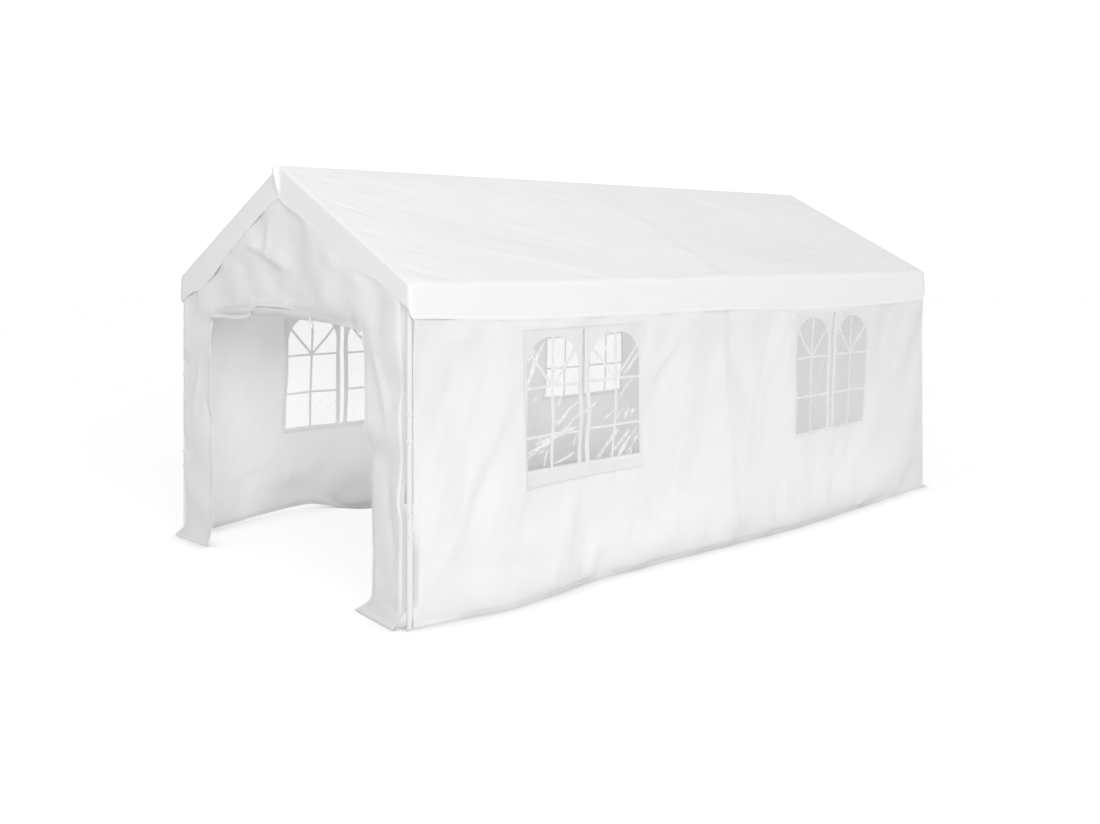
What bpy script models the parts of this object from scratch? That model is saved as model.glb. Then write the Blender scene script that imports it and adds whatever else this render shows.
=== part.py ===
"""A white party tent of about 3 by 6 metres.

A frame of steel tubes, joined by sleeve connectors, stands on six foot plates. It carries a sheet roof cover
with hanging edges, two side walls with clear window films, a rear wall, and a front wall of a gable panel and
two door strips, with the fabric door rolled up between them.

X runs across the ridge, Y runs along it from the door at -Y to the rear wall at +Y, and Z is up. The origin is
on the ground at the middle of the tent. All sizes are in metres.
"""

import math

import bmesh
import bpy
from mathutils import Matrix, Vector

# Overall sizes, over the roof cover's hanging edges
WIDTH = 2.96
LENGTH = 5.90
RIDGE_HEIGHT = 2.77
EAVE_HEIGHT = 2.00

# Frame
TUBE_RADIUS = 0.019
SLEEVE_RADIUS = 0.0215
SLEEVE_STEP = 0.0005
SLEEVE_LENGTH = 0.12
SLEEVE_BACK = 0.004
FOOT_SIDE = 0.09
FOOT_THICK = 0.003
FOOT_COLLAR = 0.02
PEG_HOLE_RADIUS = 0.005
PEG_HOLE_PLACE = 0.034

# Sheets
COVER_THICK = 0.0030
WALL_THICK = 0.0024
FILM_THICK = 0.0012
GAP = 0.0003

# Roof cover
VALANCE_DROP = 0.20
ROOF_SAG = 0.045
SLIT_CENTRE = -0.035
SLIT_WIDTH = 0.060
SLIT_TOP = 2.725

# Walls
HEM_HEIGHT = 0.006
WALL_TOP = 1.96
WALL_END = 2.90
WALL_REACH = 1.58
BOW_TOP = 1.75
END_WALL_HALF = 1.42

# Front doorway and the feet of the end walls
DOOR_HALF = 1.00
DOOR_TOP = 1.72
FOOT_REACH = 3.03
FLARE_HEIGHT = 0.20
SWING_TOP = 0.04
SWING_FOOT = 0.10
ROLL_RADIUS = 0.040
ROLL_HEIGHT = 1.775
ROLL_SAG = 0.012

# Windows
WINDOW_WIDTH = 1.10
WINDOW_SILL = 0.70
WINDOW_HEAD = 1.69
WINDOW_CENTRES = (-LENGTH / 4, LENGTH / 4)
RIGHT_WINDOW_SHIFT = -0.042
LEFT_WINDOW_SHIFT = -0.020

# Places that follow from the sizes above
FRAME_X = WIDTH / 2 - COVER_THICK - WALL_THICK - 2 * GAP - SLEEVE_RADIUS
FRAME_Y = LENGTH / 2 - COVER_THICK - WALL_THICK - 2 * GAP - SLEEVE_RADIUS
WALL_X = FRAME_X + SLEEVE_RADIUS + GAP
WALL_Y = FRAME_Y + SLEEVE_RADIUS + GAP
COVER_X = WIDTH / 2 - COVER_THICK
COVER_Y = LENGTH / 2 - COVER_THICK
PITCH = math.atan2(RIDGE_HEIGHT - EAVE_HEIGHT, WIDTH / 2)
COVER_OFFSET = SLEEVE_RADIUS + GAP
RIDGE_Z = RIDGE_HEIGHT - (COVER_OFFSET + COVER_THICK) / math.cos(PITCH)
EAVE_Z = RIDGE_Z - FRAME_X * math.tan(PITCH)
COVER_RIDGE = RIDGE_Z + COVER_OFFSET / math.cos(PITCH)
COVER_EAVE = COVER_RIDGE - COVER_X * math.tan(PITCH)
VALANCE_LOW = EAVE_HEIGHT - VALANCE_DROP

SIDES = {"left": -1, "right": 1}
FRAMES = {"front": -1, "middle": 0, "rear": 1}


def clear_scene():
    """Empties the file that the script runs in."""
    for obj in list(bpy.data.objects):
        bpy.data.objects.remove(obj, do_unlink=True)


def new_collection(name):
    """A collection under the scene's own."""
    made = bpy.data.collections.new(name)
    bpy.context.scene.collection.children.link(made)
    return made


def new_material(name, color, roughness, metallic=0.0, alpha=1.0):
    """One finish of the tent."""
    made = bpy.data.materials.new(name)
    made.use_nodes = True
    shader = made.node_tree.nodes["Principled BSDF"]
    shader.inputs["Base Color"].default_value = (*color, 1.0)
    shader.inputs["Roughness"].default_value = roughness
    shader.inputs["Metallic"].default_value = metallic
    shader.inputs["Alpha"].default_value = alpha
    return made


def finished_mesh(name, bm):
    """The mesh that a bmesh holds."""
    mesh = bpy.data.meshes.new(name)
    bm.to_mesh(mesh)
    bm.free()
    return mesh


def place_piece(name, data, material):
    """Puts one sub-part in the tent's collection."""
    obj = bpy.data.objects.new(name, data)
    data.materials.append(material)
    TENT.objects.link(obj)
    return obj


def place_cutter(name, mesh):
    """Puts one helper, which is never part of the tent, in the collection of cutters."""
    obj = bpy.data.objects.new(name, mesh)
    obj.hide_render = True
    obj.display_type = "WIRE"
    CUTTERS.objects.link(obj)
    return obj


def combine(obj, other, operation):
    """Joins the other object to this one, or cuts it away."""
    boolean = obj.modifiers.new(other.name, "BOOLEAN")
    boolean.operation = operation
    boolean.solver = "EXACT"
    boolean.object = other


def rod_mesh(name, start, end, radius, sides=12):
    """A round bar between two points."""
    start = Vector(start)
    along = Vector(end) - start
    bm = bmesh.new()
    bmesh.ops.create_cone(
        bm, cap_ends=True, segments=sides, radius1=radius, radius2=radius, depth=along.length
    )
    turn = along.to_track_quat("Z", "Y").to_matrix().to_4x4()
    middle = Matrix.Translation(start + along / 2)
    bmesh.ops.transform(bm, matrix=middle @ turn, verts=bm.verts)
    return finished_mesh(name, bm)


def tube(name, points, radius, material):
    """A tube or roll along the points, with closed ends."""
    curve = bpy.data.curves.new(name, "CURVE")
    curve.dimensions = "3D"
    curve.bevel_depth = radius
    curve.bevel_resolution = 4
    curve.use_fill_caps = True
    spline = curve.splines.new("POLY")
    spline.points.add(len(points) - 1)
    for point, place in zip(spline.points, points):
        point.co = (*place, 1.0)
    return place_piece(name, curve, material)


def connector(name, joint, arms, material):
    """Sleeves that meet at a joint, welded into one piece. An arm is a direction, and how far it runs back past
    the joint: a sleeve's length where it carries on to the other side. Each sleeve is a little slimmer than the
    last, as one is let into the other."""
    pieces = []
    for index, (arm, back) in enumerate(arms):
        direction = Vector(arm).normalized()
        start = Vector(joint) - direction * back
        end = Vector(joint) + direction * SLEEVE_LENGTH
        radius = SLEEVE_RADIUS - index * SLEEVE_STEP
        pieces.append(rod_mesh(f"{name}_arm_{index}", start, end, radius))
    obj = place_piece(name, pieces[0], material)
    for index, mesh in enumerate(pieces[1:], start=1):
        combine(obj, place_cutter(f"{name}_arm_{index}", mesh), "UNION")


def between_sleeves(start, end):
    """The two ends of a tube that runs from the sleeve at one joint to the sleeve at the next."""
    start = Vector(start)
    end = Vector(end)
    inset = (end - start).normalized() * (SLEEVE_LENGTH + GAP)
    return [start + inset, end - inset]


def eave_joint(side, frame):
    """Where a post, a rafter and the eave tubes meet."""
    return Vector((SIDES[side] * FRAME_X, FRAMES[frame] * FRAME_Y, EAVE_Z))


def ridge_joint(frame):
    """Where two rafters and the ridge tubes meet."""
    return Vector((0.0, FRAMES[frame] * FRAME_Y, RIDGE_Z))


def along_arm(frame):
    """The sleeve that lies along the tent at a joint: short at the end frames, straight through at the middle."""
    if frame == "middle":
        return Vector((0, 1, 0)), SLEEVE_LENGTH
    return Vector((0, -FRAMES[frame], 0)), SLEEVE_BACK


def build_posts():
    """Six posts, each on a foot plate with a welded collar and two peg holes."""
    for frame in FRAMES:
        for side in SIDES:
            joint = eave_joint(side, frame)
            foot = Vector((joint.x, joint.y, 0.0))
            collar_top = foot + Vector((0, 0, FOOT_COLLAR))
            post_end = joint - Vector((0, 0, SLEEVE_LENGTH + GAP))
            post_start = collar_top + Vector((0, 0, GAP))
            tube(f"post_{frame}_{side}", [post_start, post_end], TUBE_RADIUS, STEEL)
            build_foot_plate(f"foot_plate_{frame}_{side}", foot, collar_top)


def build_foot_plate(name, foot, collar_top):
    """A square plate on the ground, with a collar that the post stands on."""
    bm = bmesh.new()
    bmesh.ops.create_cube(bm, size=1.0)
    bmesh.ops.scale(bm, vec=(FOOT_SIDE, FOOT_SIDE, FOOT_THICK), verts=bm.verts)
    bmesh.ops.translate(bm, vec=foot + Vector((0, 0, FOOT_THICK / 2)), verts=bm.verts)
    plate = place_piece(name, finished_mesh(name, bm), STEEL)
    inside_plate = foot + Vector((0, 0, FOOT_THICK / 2))
    collar = rod_mesh(f"{name}_collar", inside_plate, collar_top, SLEEVE_RADIUS)
    combine(plate, place_cutter(f"{name}_collar", collar), "UNION")
    for index, way in enumerate((-1, 1)):
        hole = foot + Vector((way * PEG_HOLE_PLACE, -way * PEG_HOLE_PLACE, 0))
        depth = Vector((0, 0, FOOT_THICK))
        mesh = rod_mesh(f"{name}_hole_{index}", hole - depth, hole + 2 * depth, PEG_HOLE_RADIUS)
        combine(plate, place_cutter(f"{name}_hole_{index}", mesh), "DIFFERENCE")


def build_roof_frame():
    """The connectors, and the rafters, eave tubes and ridge tubes between them."""
    down = Vector((0, 0, -1))
    for frame in FRAMES:
        ridge = ridge_joint(frame)
        eaves = [eave_joint(side, frame) for side in SIDES]
        arms = [(eave - ridge, SLEEVE_BACK) for eave in eaves] + [along_arm(frame)]
        connector(f"ridge_connector_{frame}", ridge, arms, STEEL)
        for side, eave in zip(SIDES, eaves):
            arms = [(down, SLEEVE_BACK), (ridge - eave, SLEEVE_BACK), along_arm(frame)]
            connector(f"eave_connector_{frame}_{side}", eave, arms, STEEL)
            tube(f"rafter_{frame}_{side}", between_sleeves(eave, ridge), TUBE_RADIUS, STEEL)
    for near, far in (("front", "middle"), ("middle", "rear")):
        bay = near if near == "front" else far
        run = between_sleeves(ridge_joint(near), ridge_joint(far))
        tube(f"ridge_tube_{bay}", run, TUBE_RADIUS, STEEL)
        for side in SIDES:
            run = between_sleeves(eave_joint(side, near), eave_joint(side, far))
            tube(f"eave_tube_{bay}_{side}", run, TUBE_RADIUS, STEEL)


def grid_sheet(us, vs, place, outward, is_hole=None):
    """An open sheet as a bmesh: a grid on the stations us and vs, put in place by place(u, v)."""
    columns = len(us) - 1
    rows = len(vs) - 1
    bm = bmesh.new()
    bmesh.ops.create_grid(bm, x_segments=columns, y_segments=rows, size=0.5)
    if is_hole:
        centres = {face: face.calc_center_median() for face in bm.faces}
        holes = []
        for face, centre in centres.items():
            column = int((centre.x + 0.5) * columns)
            row = int((centre.y + 0.5) * rows)
            middle_u = (us[column] + us[column + 1]) / 2
            middle_v = (vs[row] + vs[row + 1]) / 2
            if is_hole(middle_u, middle_v):
                holes.append(face)
        bmesh.ops.delete(bm, geom=holes, context="FACES")
    for vert in bm.verts:
        u = us[round((vert.co.x + 0.5) * columns)]
        v = vs[round((vert.co.y + 0.5) * rows)]
        vert.co = place(u, v)
    bm.normal_update()
    facing = sum(face.normal.dot(Vector(outward)) for face in bm.faces)
    if facing < 0:
        bmesh.ops.reverse_faces(bm, faces=bm.faces)
    return bm


def place_sheet(name, bm, thickness, material):
    """Gives an open sheet its thickness, outwards, and puts it in the tent."""
    obj = place_piece(name, finished_mesh(name, bm), material)
    solidify = obj.modifiers.new("Thickness", "SOLIDIFY")
    solidify.thickness = thickness
    solidify.offset = 1.0
    solidify.use_even_offset = True
    return obj


def evenly(start, end, count):
    """Count + 1 stations from start to end."""
    return [start + (end - start) * index / count for index in range(count + 1)]


def joined(*runs):
    """Runs of stations in one list, where each run starts at the last one's end."""
    stations = list(runs[0])
    for run in runs[1:]:
        stations += run[1:]
    return stations


def smooth_step(t):
    """0 to 1 with level ends."""
    t = min(1.0, max(0.0, t))
    return t * t * (3 - 2 * t)


def roof_sag(x, y):
    """How far the cover hangs between the rafters: nothing at a tube, most at the middle of a bay's slope."""
    slope = math.sin(math.pi * min(1.0, abs(x) / FRAME_X)) ** 2
    bay = math.sin(math.pi * min(1.0, abs(y) / FRAME_Y)) ** 2
    return ROOF_SAG * slope * bay


def build_roof_cover():
    """One sheet over both slopes, with a hanging edge along each eave and along each gable."""
    slope = evenly(0.0, COVER_X, 7)
    crossing = [-x for x in reversed(slope)] + slope[1:]
    stations = ["left_low"] + crossing + ["right_low"]
    bays = joined(evenly(-COVER_Y, 0.0, 8), evenly(0.0, COVER_Y, 8))

    def place(station, y):
        if station == "left_low":
            return Vector((-COVER_X, y, VALANCE_LOW))
        if station == "right_low":
            return Vector((COVER_X, y, VALANCE_LOW))
        z = COVER_RIDGE - abs(station) * math.tan(PITCH) - roof_sag(station, y)
        return Vector((station, y, z))

    bm = grid_sheet(stations, bays, place, (0, 0, 1))
    for end in (-1, 1):
        hang_gable_edge(bm, end)
    cover = place_sheet("roof_cover", bm, COVER_THICK, SHEET)
    for end, name in ((-1, "front"), (1, "rear")):
        combine(cover, apex_slit(f"apex_slit_{name}", end), "DIFFERENCE")


def hang_gable_edge(bm, end):
    """Extrudes the slopes' edges down into the strip that hangs before an end wall."""
    top_edges = []
    for edge in bm.edges:
        at_end = all(abs(vert.co.y - end * COVER_Y) < GAP for vert in edge.verts)
        on_slope = all(vert.co.z > COVER_EAVE - GAP for vert in edge.verts)
        if at_end and on_slope:
            top_edges.append(edge)
    made = bmesh.ops.extrude_edge_only(bm, edges=top_edges)
    for item in made["geom"]:
        if isinstance(item, bmesh.types.BMVert):
            item.co.z = max(item.co.z - VALANCE_DROP, VALANCE_LOW)
    bmesh.ops.remove_doubles(bm, verts=bm.verts, dist=GAP)
    bmesh.ops.recalc_face_normals(bm, faces=bm.faces)


def apex_slit(name, end):
    """The wedge between the two hanging strips where they meet under the ridge."""
    depth = 2 * COVER_THICK
    low = COVER_RIDGE - VALANCE_DROP - depth
    bm = bmesh.new()
    bmesh.ops.create_cube(bm, size=1.0)
    for vert in bm.verts:
        at_top = vert.co.z > 0
        half = SLIT_WIDTH / 2 if at_top else GAP * 5
        x = SLIT_CENTRE + math.copysign(half, vert.co.x)
        y = end * (COVER_Y + COVER_THICK / 2) + math.copysign(depth, vert.co.y)
        vert.co = Vector((x, y, SLIT_TOP if at_top else low))
    return place_cutter(name, finished_mesh(name, bm))


def wall_bow(y, z):
    """How far a side wall stands out past the posts, most at the hem and nothing at its ends."""
    low = smooth_step(1 - z / BOW_TOP)
    ends = 1 - (abs(y) / WALL_END) ** 6
    return (WALL_REACH - WALL_X - WALL_THICK) * low * max(0.0, ends)


def build_side_wall(side, shift):
    """One side wall, with a window film in each of its two openings."""
    way = SIDES[side]
    half = WINDOW_WIDTH / 2
    windows = [(centre + shift - half, centre + shift + half) for centre in WINDOW_CENTRES]
    (front_near, front_far), (rear_near, rear_far) = windows
    ys = joined(
        evenly(-WALL_END, front_near, 4),
        evenly(front_near, front_far, 3),
        evenly(front_far, rear_near, 5),
        evenly(rear_near, rear_far, 3),
        evenly(rear_far, WALL_END, 4),
    )
    film_zs = evenly(WINDOW_SILL, WINDOW_HEAD, 4)
    zs = joined(evenly(HEM_HEIGHT, WINDOW_SILL, 4), film_zs, [WINDOW_HEAD, WALL_TOP])

    def place(y, z):
        return Vector((way * (WALL_X + wall_bow(y, z)), y, z))

    def in_window(y, z):
        beside = any(near < y < far for near, far in windows)
        return beside and WINDOW_SILL < z < WINDOW_HEAD

    wall = grid_sheet(ys, zs, place, (way, 0, 0), in_window)
    place_sheet(f"{side}_wall", wall, WALL_THICK, SHEET)

    def place_film(y, z):
        spot = place(y, z)
        spot.x += way * (WALL_THICK - FILM_THICK) / 2
        return spot

    for name, (near, far) in zip(("front", "rear"), windows):
        film_ys = [y for y in ys if near < y < far]
        film_ys = [near + GAP] + film_ys + [far - GAP]
        inner_zs = [WINDOW_SILL + GAP] + film_zs[1:-1] + [WINDOW_HEAD - GAP]
        film = grid_sheet(film_ys, inner_zs, place_film, (way, 0, 0))
        place_sheet(f"{side}_window_{name}", film, FILM_THICK, FILM)


def gable_line(x):
    """The top edge of an end wall, just under the cover."""
    return EAVE_Z + (FRAME_X - abs(x)) * math.tan(PITCH) + SLEEVE_RADIUS / 2


def build_front_gable():
    """The front wall above the doorway, up to the rafters."""
    xs = joined(evenly(-END_WALL_HALF, 0.0, 3), evenly(0.0, END_WALL_HALF, 3))

    def place(x, share):
        z = DOOR_TOP + share * (gable_line(x) - DOOR_TOP)
        return Vector((x, -WALL_Y, z))

    bm = grid_sheet(xs, evenly(0.0, 1.0, 1), place, (0, -1, 0))
    place_sheet("front_gable_panel", bm, WALL_THICK, SHEET)


def build_door_strip(side, outer_tip, inner_tip):
    """A strip of the front wall beside the doorway, whose free edge swings in and whose foot flares out.

    The tips are the two ends of its hem on the ground, as (x, y)."""
    way = SIDES[side]
    heights = joined(
        evenly(HEM_HEIGHT, FLARE_HEIGHT, 4), evenly(FLARE_HEIGHT, DOOR_TOP - GAP, 6)
    )

    def place(share, z):
        x = way * (END_WALL_HALF + share * (DOOR_HALF - END_WALL_HALF))
        drop = 1 - z / DOOR_TOP
        rise = smooth_step(drop * DOOR_TOP / FLARE_HEIGHT)
        y = -WALL_Y + share**1.5 * (SWING_TOP + SWING_FOOT * drop) * rise
        hanging = Vector((x, y, z))
        tip_x = outer_tip[0] + share * (inner_tip[0] - outer_tip[0])
        tip_y = outer_tip[1] + share * (inner_tip[1] - outer_tip[1])
        flare = smooth_step((FLARE_HEIGHT - z) / (FLARE_HEIGHT - HEM_HEIGHT))
        return hanging.lerp(Vector((tip_x, tip_y, z)), flare)

    bm = grid_sheet(evenly(0.0, 1.0, 4), heights, place, (0, -1, 0))
    place_sheet(f"front_{side}_strip", bm, WALL_THICK, SHEET)


def build_rolled_door():
    """The door sheet, rolled up behind the lower edge of the gable panel."""
    y = -WALL_Y + GAP + ROLL_RADIUS
    points = []
    for x in evenly(-DOOR_HALF + ROLL_RADIUS, DOOR_HALF - ROLL_RADIUS, 10):
        sag = ROLL_SAG * math.sin(math.pi * x / DOOR_HALF) ** 2
        points.append(Vector((x, y, ROLL_HEIGHT - sag)))
    tube("rolled_door", points, ROLL_RADIUS, SHEET)


def build_rear_wall():
    """The rear wall, from the ground to the rafters, with its foot pulled out at both corners."""
    xs = joined(evenly(-END_WALL_HALF, 0.0, 5), evenly(0.0, END_WALL_HALF, 5))
    levels = evenly(0.0, FLARE_HEIGHT, 3) + [DOOR_TOP, None]

    def place(x, level):
        z = gable_line(x) if level is None else HEM_HEIGHT + level
        flare = smooth_step(1 - (z - HEM_HEIGHT) / FLARE_HEIGHT)
        pull = (abs(x) / END_WALL_HALF) ** 3
        reach = FOOT_REACH - WALL_THICK - WALL_Y
        return Vector((x, WALL_Y + reach * flare * pull, z))

    bm = grid_sheet(xs, levels, place, (0, 1, 0))
    place_sheet("rear_wall", bm, WALL_THICK, SHEET)


clear_scene()
TENT = new_collection("party_tent")
CUTTERS = new_collection("cutters")
SHEET = new_material("white_sheet", (0.86, 0.86, 0.86), 0.55)
STEEL = new_material("white_steel", (0.82, 0.82, 0.83), 0.35, metallic=0.2)
FILM = new_material("clear_film", (0.90, 0.92, 0.93), 0.08, alpha=0.3)

build_posts()
build_roof_frame()
build_roof_cover()
build_side_wall("left", LEFT_WINDOW_SHIFT)
build_side_wall("right", RIGHT_WINDOW_SHIFT)
build_front_gable()
build_door_strip("left", outer_tip=(-1.575, -2.967), inner_tip=(-1.045, -2.951))
build_door_strip("right", outer_tip=(1.38, -FOOT_REACH + WALL_THICK), inner_tip=(0.91, -2.93))
build_rolled_door()
build_rear_wall()
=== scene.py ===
import math

import bmesh
import bpy
import numpy as np
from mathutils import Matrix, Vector


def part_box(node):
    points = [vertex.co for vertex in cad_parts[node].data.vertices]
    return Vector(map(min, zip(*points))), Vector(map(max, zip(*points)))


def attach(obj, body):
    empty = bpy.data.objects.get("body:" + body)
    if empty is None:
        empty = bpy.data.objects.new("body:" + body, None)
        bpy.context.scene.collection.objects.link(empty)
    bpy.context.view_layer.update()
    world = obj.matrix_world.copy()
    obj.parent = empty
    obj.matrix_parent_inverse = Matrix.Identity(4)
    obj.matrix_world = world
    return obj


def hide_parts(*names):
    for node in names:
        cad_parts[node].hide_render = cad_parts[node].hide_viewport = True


bl_info = {
    "name": "Marquee Tent Looks",
    "version": (1, 0, 0),
    "blender": (4, 5, 0),
    "location": "3D View > Sidebar > Tent",
    "description": "Hangs the sheets, windows and fastenings of a white marquee tent on its steel frame",
    "category": "Object",
}

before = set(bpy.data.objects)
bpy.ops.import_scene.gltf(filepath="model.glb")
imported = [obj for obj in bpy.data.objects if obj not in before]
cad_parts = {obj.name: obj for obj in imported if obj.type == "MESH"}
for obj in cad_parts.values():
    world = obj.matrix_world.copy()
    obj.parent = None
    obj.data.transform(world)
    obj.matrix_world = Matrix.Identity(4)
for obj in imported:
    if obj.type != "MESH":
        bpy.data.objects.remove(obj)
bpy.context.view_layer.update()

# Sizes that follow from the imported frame, in metres
post_low, post_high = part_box("post_front_right")
cover_low, cover_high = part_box("roof_cover")
wall_low, wall_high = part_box("right_wall")
gable_low, gable_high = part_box("front_gable_panel")
roll_low, roll_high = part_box("rolled_door")

POST_RADIUS = (post_high.x - post_low.x) / 2
POST_X = (post_high.x + post_low.x) / 2
POST_Y = -(post_high.y + post_low.y) / 2
COVER_X = cover_high.x
COVER_Y = cover_high.y - 0.0005
RIDGE_TOP = cover_high.z
VALANCE_LOW = cover_low.z
HEM_LOW = wall_low.z
WALL_TOP = wall_high.z
WALL_END = wall_high.y
END_FACE = -gable_low.y
END_HALF = gable_high.x
ROLL_RADIUS = (roll_high.z - roll_low.z) / 2 - 0.006
ROLL_Y = (roll_low.y + roll_high.y) / 2

# A side wall hangs just outside the posts
WALL_FACE = 1.4767

# Sizes read from the photograph, in metres
PITCH = math.atan2(2.77 - 2.00, 2.96 / 2)
SLOPE_RUN = COVER_X / math.cos(PITCH)
EAVE_TOP = RIDGE_TOP - COVER_X * math.tan(PITCH)
VALANCE = EAVE_TOP - VALANCE_LOW
DOOR_HALF = 1.00
DOOR_TOP = 1.705
BOW_TOP = 1.75
SIDES = {"left": -1, "right": 1}
WINDOWS = {
    f"{side}_window_{end}": (side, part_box(f"{side}_window_{end}"))
    for side in SIDES
    for end in ("front", "rear")
}

# Smooth lines through points, as (along, value): how far out a hem lies, how deep the cover's edges hang as a share
# of the plan's, how far a hem lifts, falls in or tucks in, and the heights of the doorway's header and the roll
RIGHT_HEM = (
    (-2.90, 1.479), (-2.62, 1.515), (-2.20, 1.585), (-1.39, 1.505),
    (-0.39, 1.54), (0.77, 1.585), (1.9, 1.53), (2.90, 1.482),
)
LEFT_HEM = (
    (-2.90, 1.482), (-2.45, 1.52), (-1.75, 1.58), (-1.2, 1.55),
    (-0.3, 1.51), (0.9, 1.56), (2.0, 1.53), (2.90, 1.482),
)
FLAP_DEPTH = (
    (-1.70, 1.00), (-1.46, 1.10), (-1.28, 1.36), (-1.08, 1.32), (-0.80, 1.12), (-0.15, 1.00),
    (0.05, 1.15), (0.35, 1.05), (0.95, 1.15), (1.35, 0.75), (1.70, 0.72),
)
VALANCE_DEPTH = (
    (-3.00, 1.00), (-2.75, 1.04), (-2.30, 1.17), (-1.60, 1.25), (0.0, 1.28),
    (1.0, 1.45), (1.6, 1.45), (2.5, 1.38), (3.0, 1.25),
)
FLAT = ((-2.90, 0.0), (2.90, 0.0))
LEFT_LIFT = (
    (-2.90, 0.0), (-2.60, 0.01), (-2.25, 0.035), (-1.85, 0.05), (-1.60, 0.03), (-1.35, 0.0), (2.90, 0.0),
)
LEFT_FLOP = (
    (-2.90, 0.0), (-1.78, 0.0), (-1.58, 0.08), (-1.38, 0.28), (-1.00, 0.33), (-0.60, 0.16), (-0.22, 0.0), (2.90, 0.0),
)
RIGHT_TUCK = (
    (-2.90, 0.0), (-2.50, 0.011), (-1.00, 0.012), (0.60, 0.013), (1.60, 0.010), (2.40, 0.006), (2.90, 0.0),
)
HEADER = (
    (-1.00, 1.705), (-0.70, 1.707), (-0.46, 1.722), (-0.40, 1.785), (-0.28, 1.811), (0.00, 1.810),
    (0.36, 1.778), (0.52, 1.757), (0.67, 1.731), (0.80, 1.719), (1.00, 1.705),
)
ROLL_LINE = ((-0.96, 1.742), (-0.42, 1.776), (-0.15, 1.782), (0.20, 1.776), (0.60, 1.768), (0.96, 1.762))

# Where the front's right strip is set back beside the post, from its outer edge, and the height of a tucked hem
STEP_FAR, STEP_MIDDLE, STEP_NEAR = 0.0430, 0.0398, 0.0365
TUCK_HEIGHT = 0.035

# A wall stays this far behind the cover's hanging edge, and may lie this far inside its own plane there
EDGE_GAP = 0.0022
WALL_PLAY = 0.0010

# The lowest that a sheet's middle lies over the ground
LOWEST = 0.004

# Width of the seam across the middle of the cover and of a side wall, and how far a zip's tape is from its teeth
SEAM_WIDTH = 0.05
ZIP_FLY = 0.022

# Run over rise of the slanting bars in a printed fan
FAN_SLANT = 1.08


class TentSizes(bpy.types.PropertyGroup):
    """Sizes of the sheets and of what is sewn on them."""

    sheet_thickness: bpy.props.FloatProperty(
        name="Sheet Thickness", description="Thickness of the woven sheet", default=0.0014, unit="LENGTH"
    )
    film_thickness: bpy.props.FloatProperty(
        name="Film Thickness", description="Thickness of the window film", default=0.0008, unit="LENGTH"
    )
    hem_width: bpy.props.FloatProperty(
        name="Hem Width", description="Width of a sewn hem", default=0.035, unit="LENGTH"
    )
    bar_width: bpy.props.FloatProperty(
        name="Bar Width", description="Width of a printed window bar", default=0.022, unit="LENGTH"
    )
    mesh_step: bpy.props.FloatProperty(
        name="Mesh Step", description="Size of a finished sheet's faces", default=0.023, unit="LENGTH"
    )
    hang_step: bpy.props.FloatProperty(
        name="Hang Step", description="Size of the faces that the cloth solver moves", default=0.045, unit="LENGTH"
    )
    hang_frames: bpy.props.IntProperty(
        name="Hang Frames", description="Steps that the cloth solver takes", default=26, min=1
    )


class TentColours(bpy.types.PropertyGroup):
    """Colours of the tent's finishes."""

    sheet: bpy.props.FloatVectorProperty(
        name="Sheet",
        description="Woven white sheet of the walls",
        default=(0.915, 0.915, 0.915),
        subtype="COLOR",
        size=3,
        min=0,
        max=1,
    )
    # Whiter than the walls' sheet: painted light that makes the roof and valances brighter
    cover: bpy.props.FloatVectorProperty(
        name="Cover",
        description="Woven white sheet of the roof",
        default=(0.93, 0.93, 0.93),
        subtype="COLOR",
        size=3,
        min=0,
        max=1,
    )
    steel: bpy.props.FloatVectorProperty(
        name="Steel",
        description="Powder coat on the tubes",
        default=(0.72, 0.72, 0.73),
        subtype="COLOR",
        size=3,
        min=0,
        max=1,
    )
    film: bpy.props.FloatVectorProperty(
        name="Film",
        description="Clear window film",
        default=(0.90, 0.91, 0.92),
        subtype="COLOR",
        size=3,
        min=0,
        max=1,
    )
    floor: bpy.props.FloatVectorProperty(
        name="Floor",
        description="Studio floor",
        default=(0.82, 0.82, 0.82),
        subtype="COLOR",
        size=3,
        min=0,
        max=1,
    )


LATTICES = {}


def smooth_step(t):
    """0 to 1 with level ends."""
    t = np.clip(t, 0.0, 1.0)
    return t * t * (3 - 2 * t)


def through(points, x):
    """A smooth line through a few points, without waves between them, read at x."""
    xs, ys = (np.array(values, float) for values in zip(*points))
    rates = np.diff(ys) / np.diff(xs)
    product = rates[:-1] * rates[1:]
    inner = np.where(product > 0, 2 * product / np.where(product > 0, rates[:-1] + rates[1:], 1.0), 0.0)
    slopes = np.concatenate([rates[:1], inner, rates[-1:]])
    cell = np.clip(np.searchsorted(xs, x, side="right") - 1, 0, len(xs) - 2)
    width = xs[cell + 1] - xs[cell]
    t = np.clip((x - xs[cell]) / width, 0.0, 1.0)
    rise = smooth_step(t)
    start = (t**3 - 2 * t**2 + t) * width * slopes[cell]
    end = (t**3 - t**2) * width * slopes[cell + 1]
    return ys[cell] + rise * (ys[cell + 1] - ys[cell]) + start + end


def stations(step, *marks):
    """Stations at most a step apart, with one on every mark."""
    runs = []
    for near, far in zip(marks, marks[1:]):
        count = max(1, math.ceil((far - near) / step - 0.001))
        runs.append(np.linspace(near, far, count + 1)[:-1])
    return np.concatenate([*runs, [marks[-1]]])


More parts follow.
